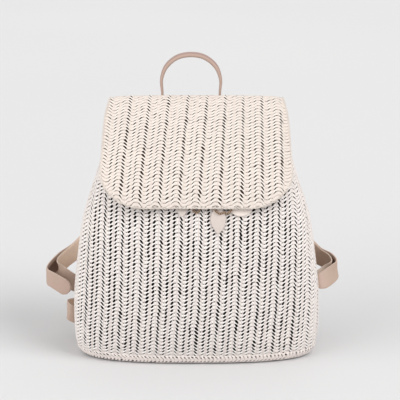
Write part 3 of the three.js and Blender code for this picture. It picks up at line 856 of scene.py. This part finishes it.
BODY_STRAW = straw_finish(
    "body straw",
    pale=(0.98, 0.94, 0.915),
    warm=(0.89, 0.8, 0.75),
    tied_shade=(0.63, 0.565, 0.535),
)
FLAP_STRAW = straw_finish(
    "flap straw",
    pale=(0.86, 0.8, 0.75),
    warm=(0.77, 0.68, 0.61),
    tied_shade=(0.61, 0.535, 0.48),
)
BASE_STRAW = straw_finish(
    "base straw",
    pale=(0.98, 0.905, 0.87),
    warm=(0.9, 0.79, 0.72),
    tied_shade=(0.83, 0.74, 0.7),
)
# Lining of near-black: partly the lining's own dark colour, partly painted shade inside the bag.
LINING_IN_PAINTED_SHADE = plain_cloth("lining in painted shade", (0.02, 0.017, 0.016), (0.008, 0.007, 0.007))
# Backing of dark brown: partly the cloth's own colour, partly painted shade under the flap's weave.
BACKING_IN_PAINTED_SHADE = plain_cloth("backing in painted shade", (0.075, 0.045, 0.032), (0.045, 0.028, 0.02))
# Rose leather whose tan back is painted light, for the lit inside of the left strap.
ROSE_LEATHER_PAINTED_LIT_BACK = leather_finish(
    "rose leather, back in painted light",
    face=(0.455, 0.33, 0.265),
    worn=(0.48, 0.355, 0.275),
    back=(0.8, 0.62, 0.49),
    edge=(0.62, 0.49, 0.41),
)
# Darker copy of the rose leather, its face and brown back in painted shade, for the right strap.
ROSE_LEATHER_IN_PAINTED_SHADE = leather_finish(
    "rose leather in painted shade",
    face=(0.4, 0.31, 0.25),
    worn=(0.43, 0.33, 0.25),
    back=(0.37, 0.25, 0.18),
    edge=(0.57, 0.455, 0.375),
)
# Strap ends: the dark brown back is painted shade between the plies, fading to the face's colour at the
# edges, which are lit.
STRAP_END_LEATHER_BACK_IN_PAINTED_SHADE = leather_finish(
    "strap end leather, back in painted shade",
    face=(0.455, 0.325, 0.265),
    worn=(0.42, 0.33, 0.25),
    back=(0.16, 0.085, 0.055),
    edge=(0.62, 0.49, 0.41),
    back_fade=(0.5, 0.78),
)
LOOP_LEATHER = leather_finish(
    "carry loop leather",
    face=(0.365, 0.245, 0.2),
    worn=(0.39, 0.28, 0.21),
    back=(0.35, 0.235, 0.2),
    edge=(0.48, 0.35, 0.29),
)
PALE_LEATHER = leather_finish(
    "pale leather",
    face=(0.6, 0.53, 0.49),
    worn=(0.57, 0.5, 0.455),
    back=(0.6, 0.53, 0.49),
    edge=(0.615, 0.545, 0.5),
    roughness=0.55,
)
# Copy of the pale leather brightened with painted light, for the lip in the hem's shade.
LIP_LEATHER_IN_PAINTED_LIGHT = leather_finish(
    "lip leather in painted light",
    face=(0.86, 0.76, 0.7),
    worn=(0.8, 0.7, 0.64),
    back=(0.84, 0.74, 0.68),
    edge=(0.88, 0.78, 0.72),
    roughness=0.55,
)
STRAP_LEATHERS = {"left": ROSE_LEATHER_PAINTED_LIT_BACK, "right": ROSE_LEATHER_IN_PAINTED_SHADE}

# Camera

CAMERA_LENS = 131.5
CAMERA_SENSOR = 36
CAMERA_PLACE = (0.004, -1.6017, 0.5734)
CAMERA_DOWN = 13.9

camera_data = bpy.data.cameras.new("camera")
camera_data.lens = CAMERA_LENS
camera_data.sensor_width = CAMERA_SENSOR
camera = bpy.data.objects.new("camera", camera_data)
camera.location = CAMERA_PLACE
camera.rotation_euler = (math.radians(90 - CAMERA_DOWN), 0, 0)
bpy.context.scene.collection.objects.link(camera)
bpy.context.scene.camera = camera

# Drawcord ends and their tabs

TAB_BEND_STEPS = 8
CORD_STEPS = 40
WRAP_STEPS = 48
CORD_AROUND = 12

# Rim of a tab: distance in from its outline, and share of its thickness
TAB_EDGE = ((0.6, 0.0), (0.25, 0.08), (0.0, 0.3), (0.0, 0.7), (0.25, 0.92), (0.6, 1.0))


def tab_outline():
    """Outline of a leaf tab in its own plane, from its top left corner round its point."""
    corners = np.stack([LEAF_SIDE["across"] * TAB_WIDTH / 2, LEAF_SIDE["along"] * TAB_LENGTH / 2], -1)
    side = [corners[0]]
    for i in (0, 2):
        for t in np.linspace(0, 1, TAB_BEND_STEPS + 1)[1:]:
            a, b, c = corners[i:i + 3]
            side.append((1 - t) ** 2 * a + 2 * t * (1 - t) * b + t * t * c)
    side = np.array(side)
    return np.concatenate([side, (side * (-1, 1))[-2::-1]])


def make_tab(label):
    """Leaf-shaped tab with rounded edges, lying on the front of the bag."""
    outline = tab_outline()
    count = len(outline)
    rings = []
    for inset, out in TAB_EDGE:
        shrink = 1 - inset / (TAB_WIDTH / 2)
        rings.append(np.column_stack([outline * shrink, np.full(count, out * TAB_THICKNESS)]))
    faces = tube_faces(len(rings), count)
    x, z = TAB_PLACES[label]
    _, middles, depths, _ = section(z + np.array([-1, 0, 1]))
    faces_at = middles - depths
    lean = math.atan2(float(faces_at[2] - faces_at[0]), 2)
    turned = Matrix.Rotation(math.pi / 2 - lean, 4, "X")
    moved = Matrix.Translation((
        x,
        float(faces_at[1]) - CLEARANCE * math.cos(lean),
        z + CLEARANCE * math.sin(lean),
    )) @ turned
    points = [moved @ Vector(p) for p in np.concatenate(rings)]
    spread = {"grain": np.zeros(len(points))}
    tab = piece(f"leather_tab_{label}", points, faces, PALE_LEATHER, spread, sharp=50)
    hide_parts(f"leaf_tab_{label}")
    return tab


def cord_finish():
    """Braided cord of brown and pale plies."""
    material, tree, shader = new_finish("braided cord", 0.75, Specular_IOR_Level=0.3)
    along, grain = attribute(tree, "along"), attribute(tree, "grain")
    turns = (along * 1.6 + grain).math("SINE")
    back = (along * 1.6 - grain).math("SINE")
    dots = (turns * back).ramp(0.1, 0.5)
    plies = turns.math("ABSOLUTE") + back.math("ABSOLUTE")
    connect(shader, Base_Color=mix((0.46, 0.32, 0.23, 1), (0.05, 0.03, 0.02, 1), dots),
            Normal=bump(tree, plies, distance=0.0004, strength=0.8))
    return material


CORD = cord_finish()


def on_front(x, z, out):
    """Place on the front of the bag, out from its face."""
    half, middle, depth, _ = section(z)
    bulge = (1 - (np.abs(x) / half) ** FRONT_ROUNDNESS) ** (1 / FRONT_ROUNDNESS)
    return np.stack([x, middle - depth * bulge - out, z], axis=-1)


def make_wrap(label):
    """Short turn of the cord that is wound round the top of its tab."""
    x, z = np.array(CORD_WRAPS[label]["route"], float).T
    bends = Curve(on_front(x, z, CORD_WRAPS[label]["out"])).at(np.linspace(0, 1, WRAP_STEPS))
    return round_tube(f"cord_wrap_{label}", bends, CORD_DIAMETER / 2, CORD, around=CORD_AROUND)


for label, route in CORD_ROUTES.items():
    path = Curve(route).at(np.linspace(0, 1, CORD_STEPS))
    run = round_tube(f"cord_{label}", path / MM, CORD_DIAMETER / 2, CORD, around=CORD_AROUND)
    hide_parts(f"drawcord_{label}")
    make_tab(label)
    make_wrap(label)

# Walls, band and floor of woven straw

# Where the walls' weave stops, and how far its holes are shut towards its edges
WEAVE_BELOW_BAND = 3
WEAVE_SIDE_MARGIN = 0.4
WEAVE_MOUTH_MARGIN = 1.5
FOOT_SHUT = 0.7
FOOT_FADE = 7
MOUTH_FADE = (5, 8)
SEAM_FADE = (0.5, 2.5)
SIDE_SHUT = 0.76
OPEN_FROM_LEFT = 44
OPEN_FROM_RIGHT = 60
FRONT_LEAN = columns("up shift", [(0, 2), (45, 4.7), (70, 6.7), (130, 9), (185, 10.2), (330, 10.2)])

# Lining behind the walls' weave, binding of the mouth and side seams
LINING_ROWS = 70
LINING_COLUMNS = 81
LINING_DEPTHS = (1.75, 2.35)
LINING_MARGIN = 0.3
LINING_BELOW_MOUTH = 1
BINDING_RADIUS = 1.25
BINDING_BELOW_MOUTH = 0.6
BINDING_INSET = 0.9
SEAM_STEPS = 70
SEAM_RADIUS = 0.8
SEAM_INSET = 0.55
SEAM_BELOW_MOUTH = 1.5


def front_lean(across, up):
    """How far the front's columns lie sideways, which grows with height."""
    return np.interp(up, FRONT_LEAN["up"], FRONT_LEAN["shift"])


def make_wall(label, cloth):
    """Woven wall between its side seams, from the base's band up to the edge of the mouth."""
    foot = float(cloth.climb(BASE_EDGE_HEIGHT))

    def below_mouth(across, up):
        return mouth_height(cloth.angle(across, up)) - cloth.level(up)

    def allowed(across, up):
        inside = np.abs(across) < cloth.half_width(up) - WEAVE_SIDE_MARGIN
        above_foot = up > foot - WEAVE_BELOW_BAND
        return inside & (below_mouth(across, up) > WEAVE_MOUTH_MARGIN) & above_foot

    def closed(across, up):
        at_foot = FOOT_SHUT * (1 - smoothstep(foot, foot + FOOT_FADE, up))
        at_mouth = 1 - smoothstep(*MOUTH_FADE, below_mouth(across, up))
        from_seam = cloth.half_width(up) - np.abs(across)
        at_seam = 1 - smoothstep(*SEAM_FADE, from_seam)
        open_from = np.where(across < 0, OPEN_FROM_LEFT, OPEN_FROM_RIGHT)
        at_side = SIDE_SHUT * (1 - smoothstep(open_from / 3, open_from, from_seam))
        return np.maximum.reduce([at_foot, at_mouth, at_seam, at_side])

    top = float(cloth.climb(np.array(MOUTH_FRONT_HEIGHT + MOUTH_RISE_TO_BACK)))
    rows = np.arange(int(foot / ROW_PITCH) - 2, int(top / ROW_PITCH) + 2)
    lean = front_lean if label == "front" else upright_columns
    wide = float(cloth.half_width(np.linspace(10, 250, 60)).max())
    woven = strands(f"{label}_weave", cloth, rows, wide, allowed, closed, BODY_STRAW, shift=lean)

    shares = np.linspace(-1, 1, LINING_COLUMNS)
    ups = np.linspace(foot + LINING_MARGIN, top, LINING_ROWS)
    share, up = np.meshgrid(shares, ups)
    angle = cloth.angle(share * cloth.half_width(up), up)
    rise = mouth_height(angle) - LINING_BELOW_MOUTH - BASE_EDGE_HEIGHT - LINING_MARGIN
    level = cloth.level(foot + LINING_MARGIN) + np.linspace(0, 1, LINING_ROWS)[:, None] * rise
    level_up = cloth.climb(level)
    across = share * (cloth.half_width(level_up) - LINING_MARGIN)
    layers = [lay(cloth, across, level_up, np.full(up.shape, -depth)) for depth in LINING_DEPTHS]
    piece(f"{label}_lining", np.stack(layers), shell_faces(*up.shape), LINING_IN_PAINTED_SHADE)
    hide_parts(f"straw_{label}")

    rim_angle = cloth.angle(shares * cloth.half_width(level_up[-1]), level_up[-1])
    rim = bag_point(rim_angle, mouth_height(rim_angle) - BINDING_BELOW_MOUTH, BINDING_INSET)
    round_tube(f"{label}_mouth_binding", rim, BINDING_RADIUS, BASE_STRAW)


make_wall("front", wall_cloth(-1))
make_wall("back", wall_cloth(1))

for side, angle in (("right", 0.0), ("left", math.pi)):
    heights = np.linspace(BASE_EDGE_HEIGHT - 1, mouth_height(0) - SEAM_BELOW_MOUTH, SEAM_STEPS)
    seam = bag_point(np.full(heights.shape, angle), heights, SEAM_INSET)
    round_tube(f"side_seam_{side}", seam, SEAM_RADIUS, BASE_STRAW)

# Sizes of the weave of the band and the floor, and how far its holes are shut
BAND_PHASE = 7.2
BAND_OVERLAP = 0.7
BAND_MARGIN = 0.9
BAND_SHUT = 0.42
BAND_BASE = -0.2
FLOOR_MARGIN = 0.012
FLOOR_SHUT = 0.35
FLOOR_BASE = -0.9

# Section of the floor board and its turned-up lining: height, and distance in from the bag's face
FLOOR_BOARD = (
    (1.3, 3.0),
    (1.3, 1.6),
    (BASE_EDGE_HEIGHT + 1.5, 1.6),
    (BASE_EDGE_HEIGHT + 1.5, 2.2),
    (2.2, 2.2),
)


def band_cloth():
    """Layout of the turned-up band: across is the way down it and up the way round the bag."""
    angles = np.linspace(0, 2 * math.pi, 1441)
    ring = bag_point(angles, np.full(angles.shape, BASE_EDGE_HEIGHT / 2))
    lengths = lengths_along(ring)
    levels = np.linspace(0, BASE_EDGE_HEIGHT, 40)
    profile = bag_point(np.full(levels.shape, -math.pi / 2), levels)
    climbs = lengths_along(profile)

    def cloth(across, up):
        angle = np.interp(up % lengths[-1], lengths, angles)
        return bag_point(angle, np.interp(climbs[-1] - across, climbs, levels))

    return cloth, lengths[-1], climbs[-1]


band_layout, band_round, band_climb = band_cloth()
band_rows = round(band_round / ROW_PITCH)
band_scale = band_round / (band_rows * ROW_PITCH)
band = strands(
    "band_weave",
    lambda across, up: band_layout(across, up * band_scale),
    np.arange(band_rows),
    band_climb,
    lambda across, up: (across > -BAND_OVERLAP) & (across < band_climb - BAND_MARGIN),
    lambda across, up: np.full(across.shape, BAND_SHUT),
    BASE_STRAW,
    shift=lambda across, up: -BAND_PHASE,
    base=BAND_BASE,
)
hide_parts("base_band")


def floor_cloth(across, up):
    """Layout of the floor's underside: across is towards the back and up towards the right."""
    return np.stack([up, across, np.zeros(np.shape(across))], axis=-1)


def floor_inset(across, up):
    """How far a place lies in from the floor's edge, as a share of the floor's size."""
    half, middle, depth, _ = section(np.array(0.0))
    power = np.where(across < middle, FRONT_ROUNDNESS, BACK_ROUNDNESS)
    wide = np.abs(up / half) ** power + np.abs((across - middle) / depth) ** power
    return 1 - wide ** (1 / power)


floor_rows = np.arange(-int(BAG_WIDTH / 2 / ROW_PITCH), int(BAG_WIDTH / 2 / ROW_PITCH) + 1)
underside = strands("floor_weave", floor_cloth, floor_rows, BAG_DEPTH / 2,
                    lambda across, up: floor_inset(across, up) > FLOOR_MARGIN,
                    lambda across, up: np.full(across.shape, FLOOR_SHUT), BASE_STRAW, base=FLOOR_BASE)
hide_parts("straw_base")


def make_floor_board():
    """Stiff lined board over the floor's weave, with the lining turned up behind the band."""
    angles = np.linspace(0, 2 * math.pi, 145)[:-1]
    rings = [bag_point(angles, np.full(angles.shape, z), inset) for z, inset in FLOOR_BOARD]
    faces = tube_faces(len(rings), len(angles))
    piece("floor_board", np.concatenate(rings), faces, LINING_IN_PAINTED_SHADE, sharp=40)


make_floor_board()

# Flap

# Sideways lean of the flap's columns, and how far its holes are shut
FLAP_LEAN = 0.066
FLAP_PHASE = 7.2
FAN_TURN = 0.05
FAN_WIDTH = 60
FAN_MIDDLE = 80
OPEN_COLUMN = 17.2
OPEN_COLUMN_FADE = (1.3, 2.4)
OPEN_COLUMN_LEFT_OPEN = 0.4
WEAVE_FLAP_MARGIN = 0.5
HEM_SHUT = 0.9
HEM_FADE = (6.5, 9)
TOP_SHUT = 0.82
TOP_FADE = (0.42, 0.95)

# Backing of the flap, and the twisted strands round its edge
BACKING_INSET = 1.0
BACKING_GAP = 0.2
BACKING_THICKNESS = 1.2
EDGE_INSET = 1.1
EDGE_STEPS = 900
EDGE_RADIUS = 0.7
EDGE_SUNK = 0.9
EDGE_SWING = 0.7
EDGE_RISE = 0.4
EDGE_TWISTS = 88


def flap_lean(across, up):
    """How far the flap's columns lie sideways: they all lean, and stand up straighter at the right."""
    return FLAP_PHASE + FLAP_LEAN * up - FAN_TURN * smoothstep(0, FAN_WIDTH, across) * (up - FAN_MIDDLE)


def flap_closed(across, up):
    """How far the flap's holes are shut: at the hem, and over the top, less so in one column a repeat."""
    hem = HEM_SHUT * (1 - smoothstep(*HEM_FADE, flap_inset(across, up)))
    phase = (across - flap_lean(across, up)) % REPEAT
    slanted = 1 - smoothstep(*OPEN_COLUMN_FADE, np.abs(phase - OPEN_COLUMN))
    shut = TOP_SHUT - OPEN_COLUMN_LEFT_OPEN * slanted
    over_top = shut * smoothstep(*TOP_FADE, up / FLAP_LENGTH)
    return np.maximum(hem, over_top)


flap_rows = np.arange(-2, int(FLAP_LENGTH / ROW_PITCH) + 2)
flap = strands("flap_weave", flap_cloth, flap_rows, FLAP_WIDTH / 2,
               lambda across, up: flap_inset(across, up) > WEAVE_FLAP_MARGIN,
               flap_closed, FLAP_STRAW, shift=flap_lean, part="flap")
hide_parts("straw_flap")


def flap_grid(inset, rows=60, across=49):
    """Places of a grid over the flap with rounded corners, kept a little inside its edge."""
    share = np.sin(np.linspace(-1, 1, across) * math.pi / 2)[None]
    corner_start = FLAP_WIDTH / 2 - FLAP_CORNER_WIDTH
    corner = np.clip(np.abs(share) * FLAP_WIDTH / 2 - corner_start, 0, None) / FLAP_CORNER_WIDTH
    lift = FLAP_CORNER_HEIGHT * (1 - np.sqrt(np.clip(1 - corner**2, 0, 1)))
    rise = np.linspace(0, 1, rows)[:, None]
    up = inset + lift + rise * (FLAP_LENGTH - 2 * inset - lift)
    half = smooth(FLAP_SIDES, "along", "half", 1 - up / FLAP_LENGTH) * FLAP_WIDTH / 2 - inset
    return share * half, up


def make_flap_backing():
    """Cloth backing under the flap's weave."""
    across, up = flap_grid(BACKING_INSET)
    offset = FLAP_STANDOFF + BACKING_GAP
    layers = [flap_cloth(across, up, offset + BACKING_THICKNESS), flap_cloth(across, up, offset)]
    piece("flap_backing", np.stack(layers), shell_faces(*up.shape), BACKING_IN_PAINTED_SHADE)


make_flap_backing()


def make_flap_edge(name, turn):
    """One of the two straw strands that are twisted round the flap's edge."""
    across, up = flap_grid(EDGE_INSET, rows=110, across=97)
    route = np.concatenate([
        np.column_stack([across[::-1, 0], up[::-1, 0]]),
        np.column_stack([across[0], up[0]])[1:-1],
        np.column_stack([across[:, -1], up[:, -1]]),
        np.column_stack([across[-1, ::-1], up[-1, ::-1]])[1:-1],
    ])
    loop = np.concatenate([route, route[:1]])
    lengths = lengths_along(loop)
    places = np.linspace(0, lengths[-1], EDGE_STEPS + 1)[:-1]
    even = np.column_stack([np.interp(places, lengths, loop[:, i]) for i in (0, 1)])
    tangent = unit(np.roll(even, -3, axis=0) - np.roll(even, 3, axis=0))
    phase = 2 * math.pi * places / lengths[-1] * EDGE_TWISTS + turn
    swing = EDGE_SWING * np.sin(phase)
    offset = FLAP_STANDOFF + FLAP_WALL - EDGE_SUNK + EDGE_RISE * np.cos(phase)
    path = flap_cloth(even[:, 0] + tangent[:, 1] * swing, even[:, 1] - tangent[:, 0] * swing, offset)
    round_tube(name, path, EDGE_RADIUS, FLAP_STRAW, around=8, closed=True)


make_flap_edge("flap_edge_over", 0)
make_flap_edge("flap_edge_under", math.pi)


def make_tongue():
    """Pale leather lip, brightened with painted light, whose bowed lower edge shows under the flap's hem.
    """
    share, rise = np.meshgrid(np.linspace(-1, 1, 25), np.linspace(0, 1, 9))
    foot = TONGUE_FOOT + TONGUE_BOW * share**2
    z = foot + rise * (TONGUE_TOP - foot)
    x = TONGUE_MIDDLE + TONGUE_HALF * share
    belly = TONGUE_BELLY * np.sqrt(np.clip(1 - share**2, 0, 1)) * np.sqrt(rise * (2 - rise))
    layers = [on_front(x, z, TONGUE_OUT + belly), on_front(x, z, TONGUE_BACK)]
    piece("hem_tongue", np.stack(layers), shell_faces(*x.shape), LIP_LEATHER_IN_PAINTED_LIGHT)


make_tongue()

# Straps and carry loop of leather

STEPS_A_ROW = 9
KEEPER_BEND = 0.9
KEEPER_AROUND = 12
KEEPER_RIM_POWER = 0.4
KEEPER_FACE_POWER = 0.6
KEEPER_BEND_STEPS = 5
LOOP_STEPS = 180
LOOP_FOLD_FADE = (0.16, 0.36)


def outward_of(tangent, side):
    """Outward direction of a strap that stands on edge."""
    flat = np.stack([-side * tangent[..., 1], side * tangent[..., 0], 0 * tangent[..., 0]], -1)
    return unit(flat)


def strap_points(table, side, reach):
    """Places of a strap's rows on one side of the bag."""
    z = table["up"] * BAG_HEIGHT
    seat = section(z)[3] + CLEARANCE + STRAP_THICKNESS / 2
    x = side * (table["out"] * BAG_WIDTH / 2 + table["reach"] * reach)
    return np.stack([x, seat + table["behind"] * STRAP_SPREAD, z], axis=-1)


def turned_about(vectors, axes, angles):
    """Vectors turned about axes by angles in radians, with each vector square to its axis."""
    return vectors * np.cos(angles)[..., None] + np.cross(axes, vectors) * np.sin(angles)[..., None]


def edge_strap(name, points, leans, side, tip, leather):
    """Strap that stands on edge along its points and leans there."""

    def across_at(share, tangent):
        lean = np.interp(share * (len(leans) - 1), np.arange(len(leans)), leans)
        upright = np.cross(tangent, outward_of(tangent, side))
        return turned_about(upright, tangent, side * np.radians(lean))

    return strip(name, Curve(points), across_at, STRAP_WIDTH, STRAP_THICKNESS, leather,
                 steps=STEPS_A_ROW * (len(points) - 1), tip=tip)


def make_keeper(name, centre, upright, facing, tangent, across, deep):
    """Leather loop with rounded edges round both plies of a strap."""
    outline = []
    for sx, sy, start in ((1, 1, 0), (-1, 1, 90), (-1, -1, 180), (1, -1, 270)):
        for step in range(KEEPER_BEND_STEPS + 1):
            turn = math.radians(start + 90 / KEEPER_BEND_STEPS * step)
            outline.append((
                sx * (across / 2 - KEEPER_BEND) + KEEPER_BEND * math.cos(turn),
                sy * (deep / 2 - KEEPER_BEND) + KEEPER_BEND * math.sin(turn),
                math.cos(turn),
                math.sin(turn),
            ))
    outline = np.array(outline)
    turn = np.arange(KEEPER_AROUND) * 2 * math.pi / KEEPER_AROUND
    along = rounded(np.cos(turn), KEEPER_RIM_POWER) * KEEPER_LENGTH / 2
    wall = (1 + rounded(np.sin(turn), KEEPER_FACE_POWER)) * KEEPER_WALL / 2
    u = outline[:, 0, None] + outline[:, 2, None] * wall
    v = outline[:, 1, None] + outline[:, 3, None] * wall
    points = (
        centre
        + u[..., None] * upright
        + v[..., None] * facing
        + np.broadcast_to(along, u.shape)[..., None] * tangent
    )
    spread = {"grain": np.tile(along / (KEEPER_LENGTH / 2), len(outline))}
    return piece(name, points, tube_faces(len(outline), KEEPER_AROUND, closed=True), ROSE_LEATHER_PAINTED_LIT_BACK,
                 spread)


def make_strap(label, side):
    """One shoulder strap, its spare tail as an outer ply, and the keeper round both."""
    table, tail = STRAPS[label], TAILS[label]
    points = strap_points(table, side, STRAP_REACH[label])
    curve = Curve(points)
    ply_step = STRAP_THICKNESS + PLY_GAP

    def beside(row, distance):
        share = np.array(row / (len(points) - 1))
        return curve.at(share) + outward_of(curve.tangent(share), side) * distance

    held = [beside(KEEPER_ROW + step, ply_step) for step in (-KEEPER_HOLD, 0, KEEPER_HOLD)]
    tail_points = np.concatenate([held, strap_points(tail, side, STRAP_REACH[label])])
    tail_leans = np.concatenate([np.zeros(3), tail["lean"]])
    main = edge_strap(f"strap_{label}", points, table["lean"], side, 0, STRAP_LEATHERS[label])
    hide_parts(f"shoulder_strap_{label}")
    spare = edge_strap(f"strap_end_{label}", tail_points, tail_leans, side, STRAP_WIDTH / 2,
                       STRAP_END_LEATHER_BACK_IN_PAINTED_SHADE)
    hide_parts(f"strap_tail_{label}")

    tangent = curve.tangent(np.array(KEEPER_ROW / (len(points) - 1)))
    upright = unit(np.cross(tangent, outward_of(tangent, side)))
    facing = np.cross(tangent, upright)
    keeper = make_keeper(f"keeper_{label}", beside(KEEPER_ROW, ply_step / 2), upright, facing, tangent,
                         STRAP_WIDTH + 2 * CLEARANCE, STRAP_THICKNESS + ply_step + 2 * CLEARANCE)
    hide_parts(f"strap_keeper_{label}")


make_strap("left", -1)
make_strap("right", 1)


def make_carry_loop():
    """Arch of flat leather whose feet lie on the flap's back and twist as they rise."""
    half = (HANDLE_SPAN - HANDLE_THICKNESS) / 2
    foot = BAG_HEIGHT - HANDLE_FOOT - HANDLE_FOOT_BELOW_TOP
    side = [
        (FOOT_OUT, foot),
        (FOOT_OUT, foot + HANDLE_FOOT / 2),
        *zip(ARCH_SIDE["out"], BAG_HEIGHT + ARCH_SIDE["rise"] * HANDLE_RISE),
    ]
    arch = Curve([
        *[(HANDLE_OFFSET - out * half, 0, z) for out, z in side],
        (HANDLE_OFFSET, 0, BAG_HEIGHT + HANDLE_RISE - HANDLE_THICKNESS / 2),
        *[(HANDLE_OFFSET + out * half, 0, z) for out, z in side[::-1]],
    ])
    seat = flap_line.points[0][1] + FLAP_STANDOFF + FLAP_WALL + CLEARANCE

    def twist_at(share):
        return math.pi / 2 * smoothstep(*HANDLE_TWIST, np.minimum(share, 1 - share))

    shares = np.linspace(0, 1, 37)
    points = arch.at(shares)
    twist = twist_at(shares)
    points[:, 1] = seat + (HANDLE_WIDTH * np.sin(twist) + HANDLE_THICKNESS * np.cos(twist)) / 2

    def across_at(share, tangent):
        turn = np.where(share < 0.5, twist_at(share), math.pi - twist_at(share))
        flat = np.stack([np.cos(turn), np.sin(turn), 0 * turn], axis=-1)
        return flat - tangent * (flat * tangent).sum(-1, keepdims=True)

    fold = smoothstep(*LOOP_FOLD_FADE, 0.5 - np.abs(np.linspace(-0.5, 0.5, LOOP_STEPS + 1)))
    loop = strip("carry_loop_leather", Curve(points - (0, 0, HANDLE_FOLD / 2)), across_at, HANDLE_WIDTH,
                 HANDLE_THICKNESS + HANDLE_FOLD * fold, LOOP_LEATHER, steps=LOOP_STEPS)
    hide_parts("carry_loop")


make_carry_loop()

# Floor and light

GROUND_REACH = 9.0
LIGHTS = {
    "key": {"towards": (1.4, -0.9, 1.5), "softness": 0.6, "strength": 1.85},
    "fill": {"towards": (-1.6, -0.9, 0.8), "softness": 1.0, "strength": 1.65},
    "top": {"towards": (0.2, 0.5, 1.9), "softness": 1.0, "strength": 0.28},
}
ROOM_COLOUR = (1, 0.995, 0.985, 1)
ROOM_STRENGTH = 0.65


def make_ground():
    """Wide pale floor."""
    corners = [(x * GROUND_REACH, y * GROUND_REACH, 0) for x, y in ((-1, -1), (1, -1), (1, 1), (-1, 1))]
    mesh = bpy.data.meshes.new("ground")
    mesh.from_pydata(corners, [], [(0, 1, 2, 3)])
    material, tree, shader = new_finish("pale ground", 0.6)
    clouds = noise(tree, place_in_bag(tree), scale=0.6, detail=1)
    connect(shader, Base_Color=mix((0.6, 0.6, 0.61, 1), (0.65, 0.65, 0.65, 1), clouds))
    mesh.materials.append(material)
    ground = bpy.data.objects.new("ground", mesh)
    bpy.context.scene.collection.objects.link(ground)


def make_light(name, towards, softness, strength):
    """Wide soft light that shines from a direction."""
    lamp = bpy.data.lights.new(name, "SUN")
    lamp.angle = softness
    lamp.energy = strength
    light = bpy.data.objects.new(name, lamp)
    light.rotation_euler = Vector(towards).to_track_quat("Z", "Y").to_euler()
    bpy.context.scene.collection.objects.link(light)


make_ground()
for name, setting in LIGHTS.items():
    make_light(name, **setting)

world = bpy.data.worlds.new("soft studio")
world.use_nodes = True
room_light = world.node_tree.nodes["Background"]
room_light.inputs["Color"].default_value = ROOM_COLOUR
room_light.inputs["Strength"].default_value = ROOM_STRENGTH
bpy.context.scene.world = world
bpy.context.scene.view_settings.view_transform = "Standard"
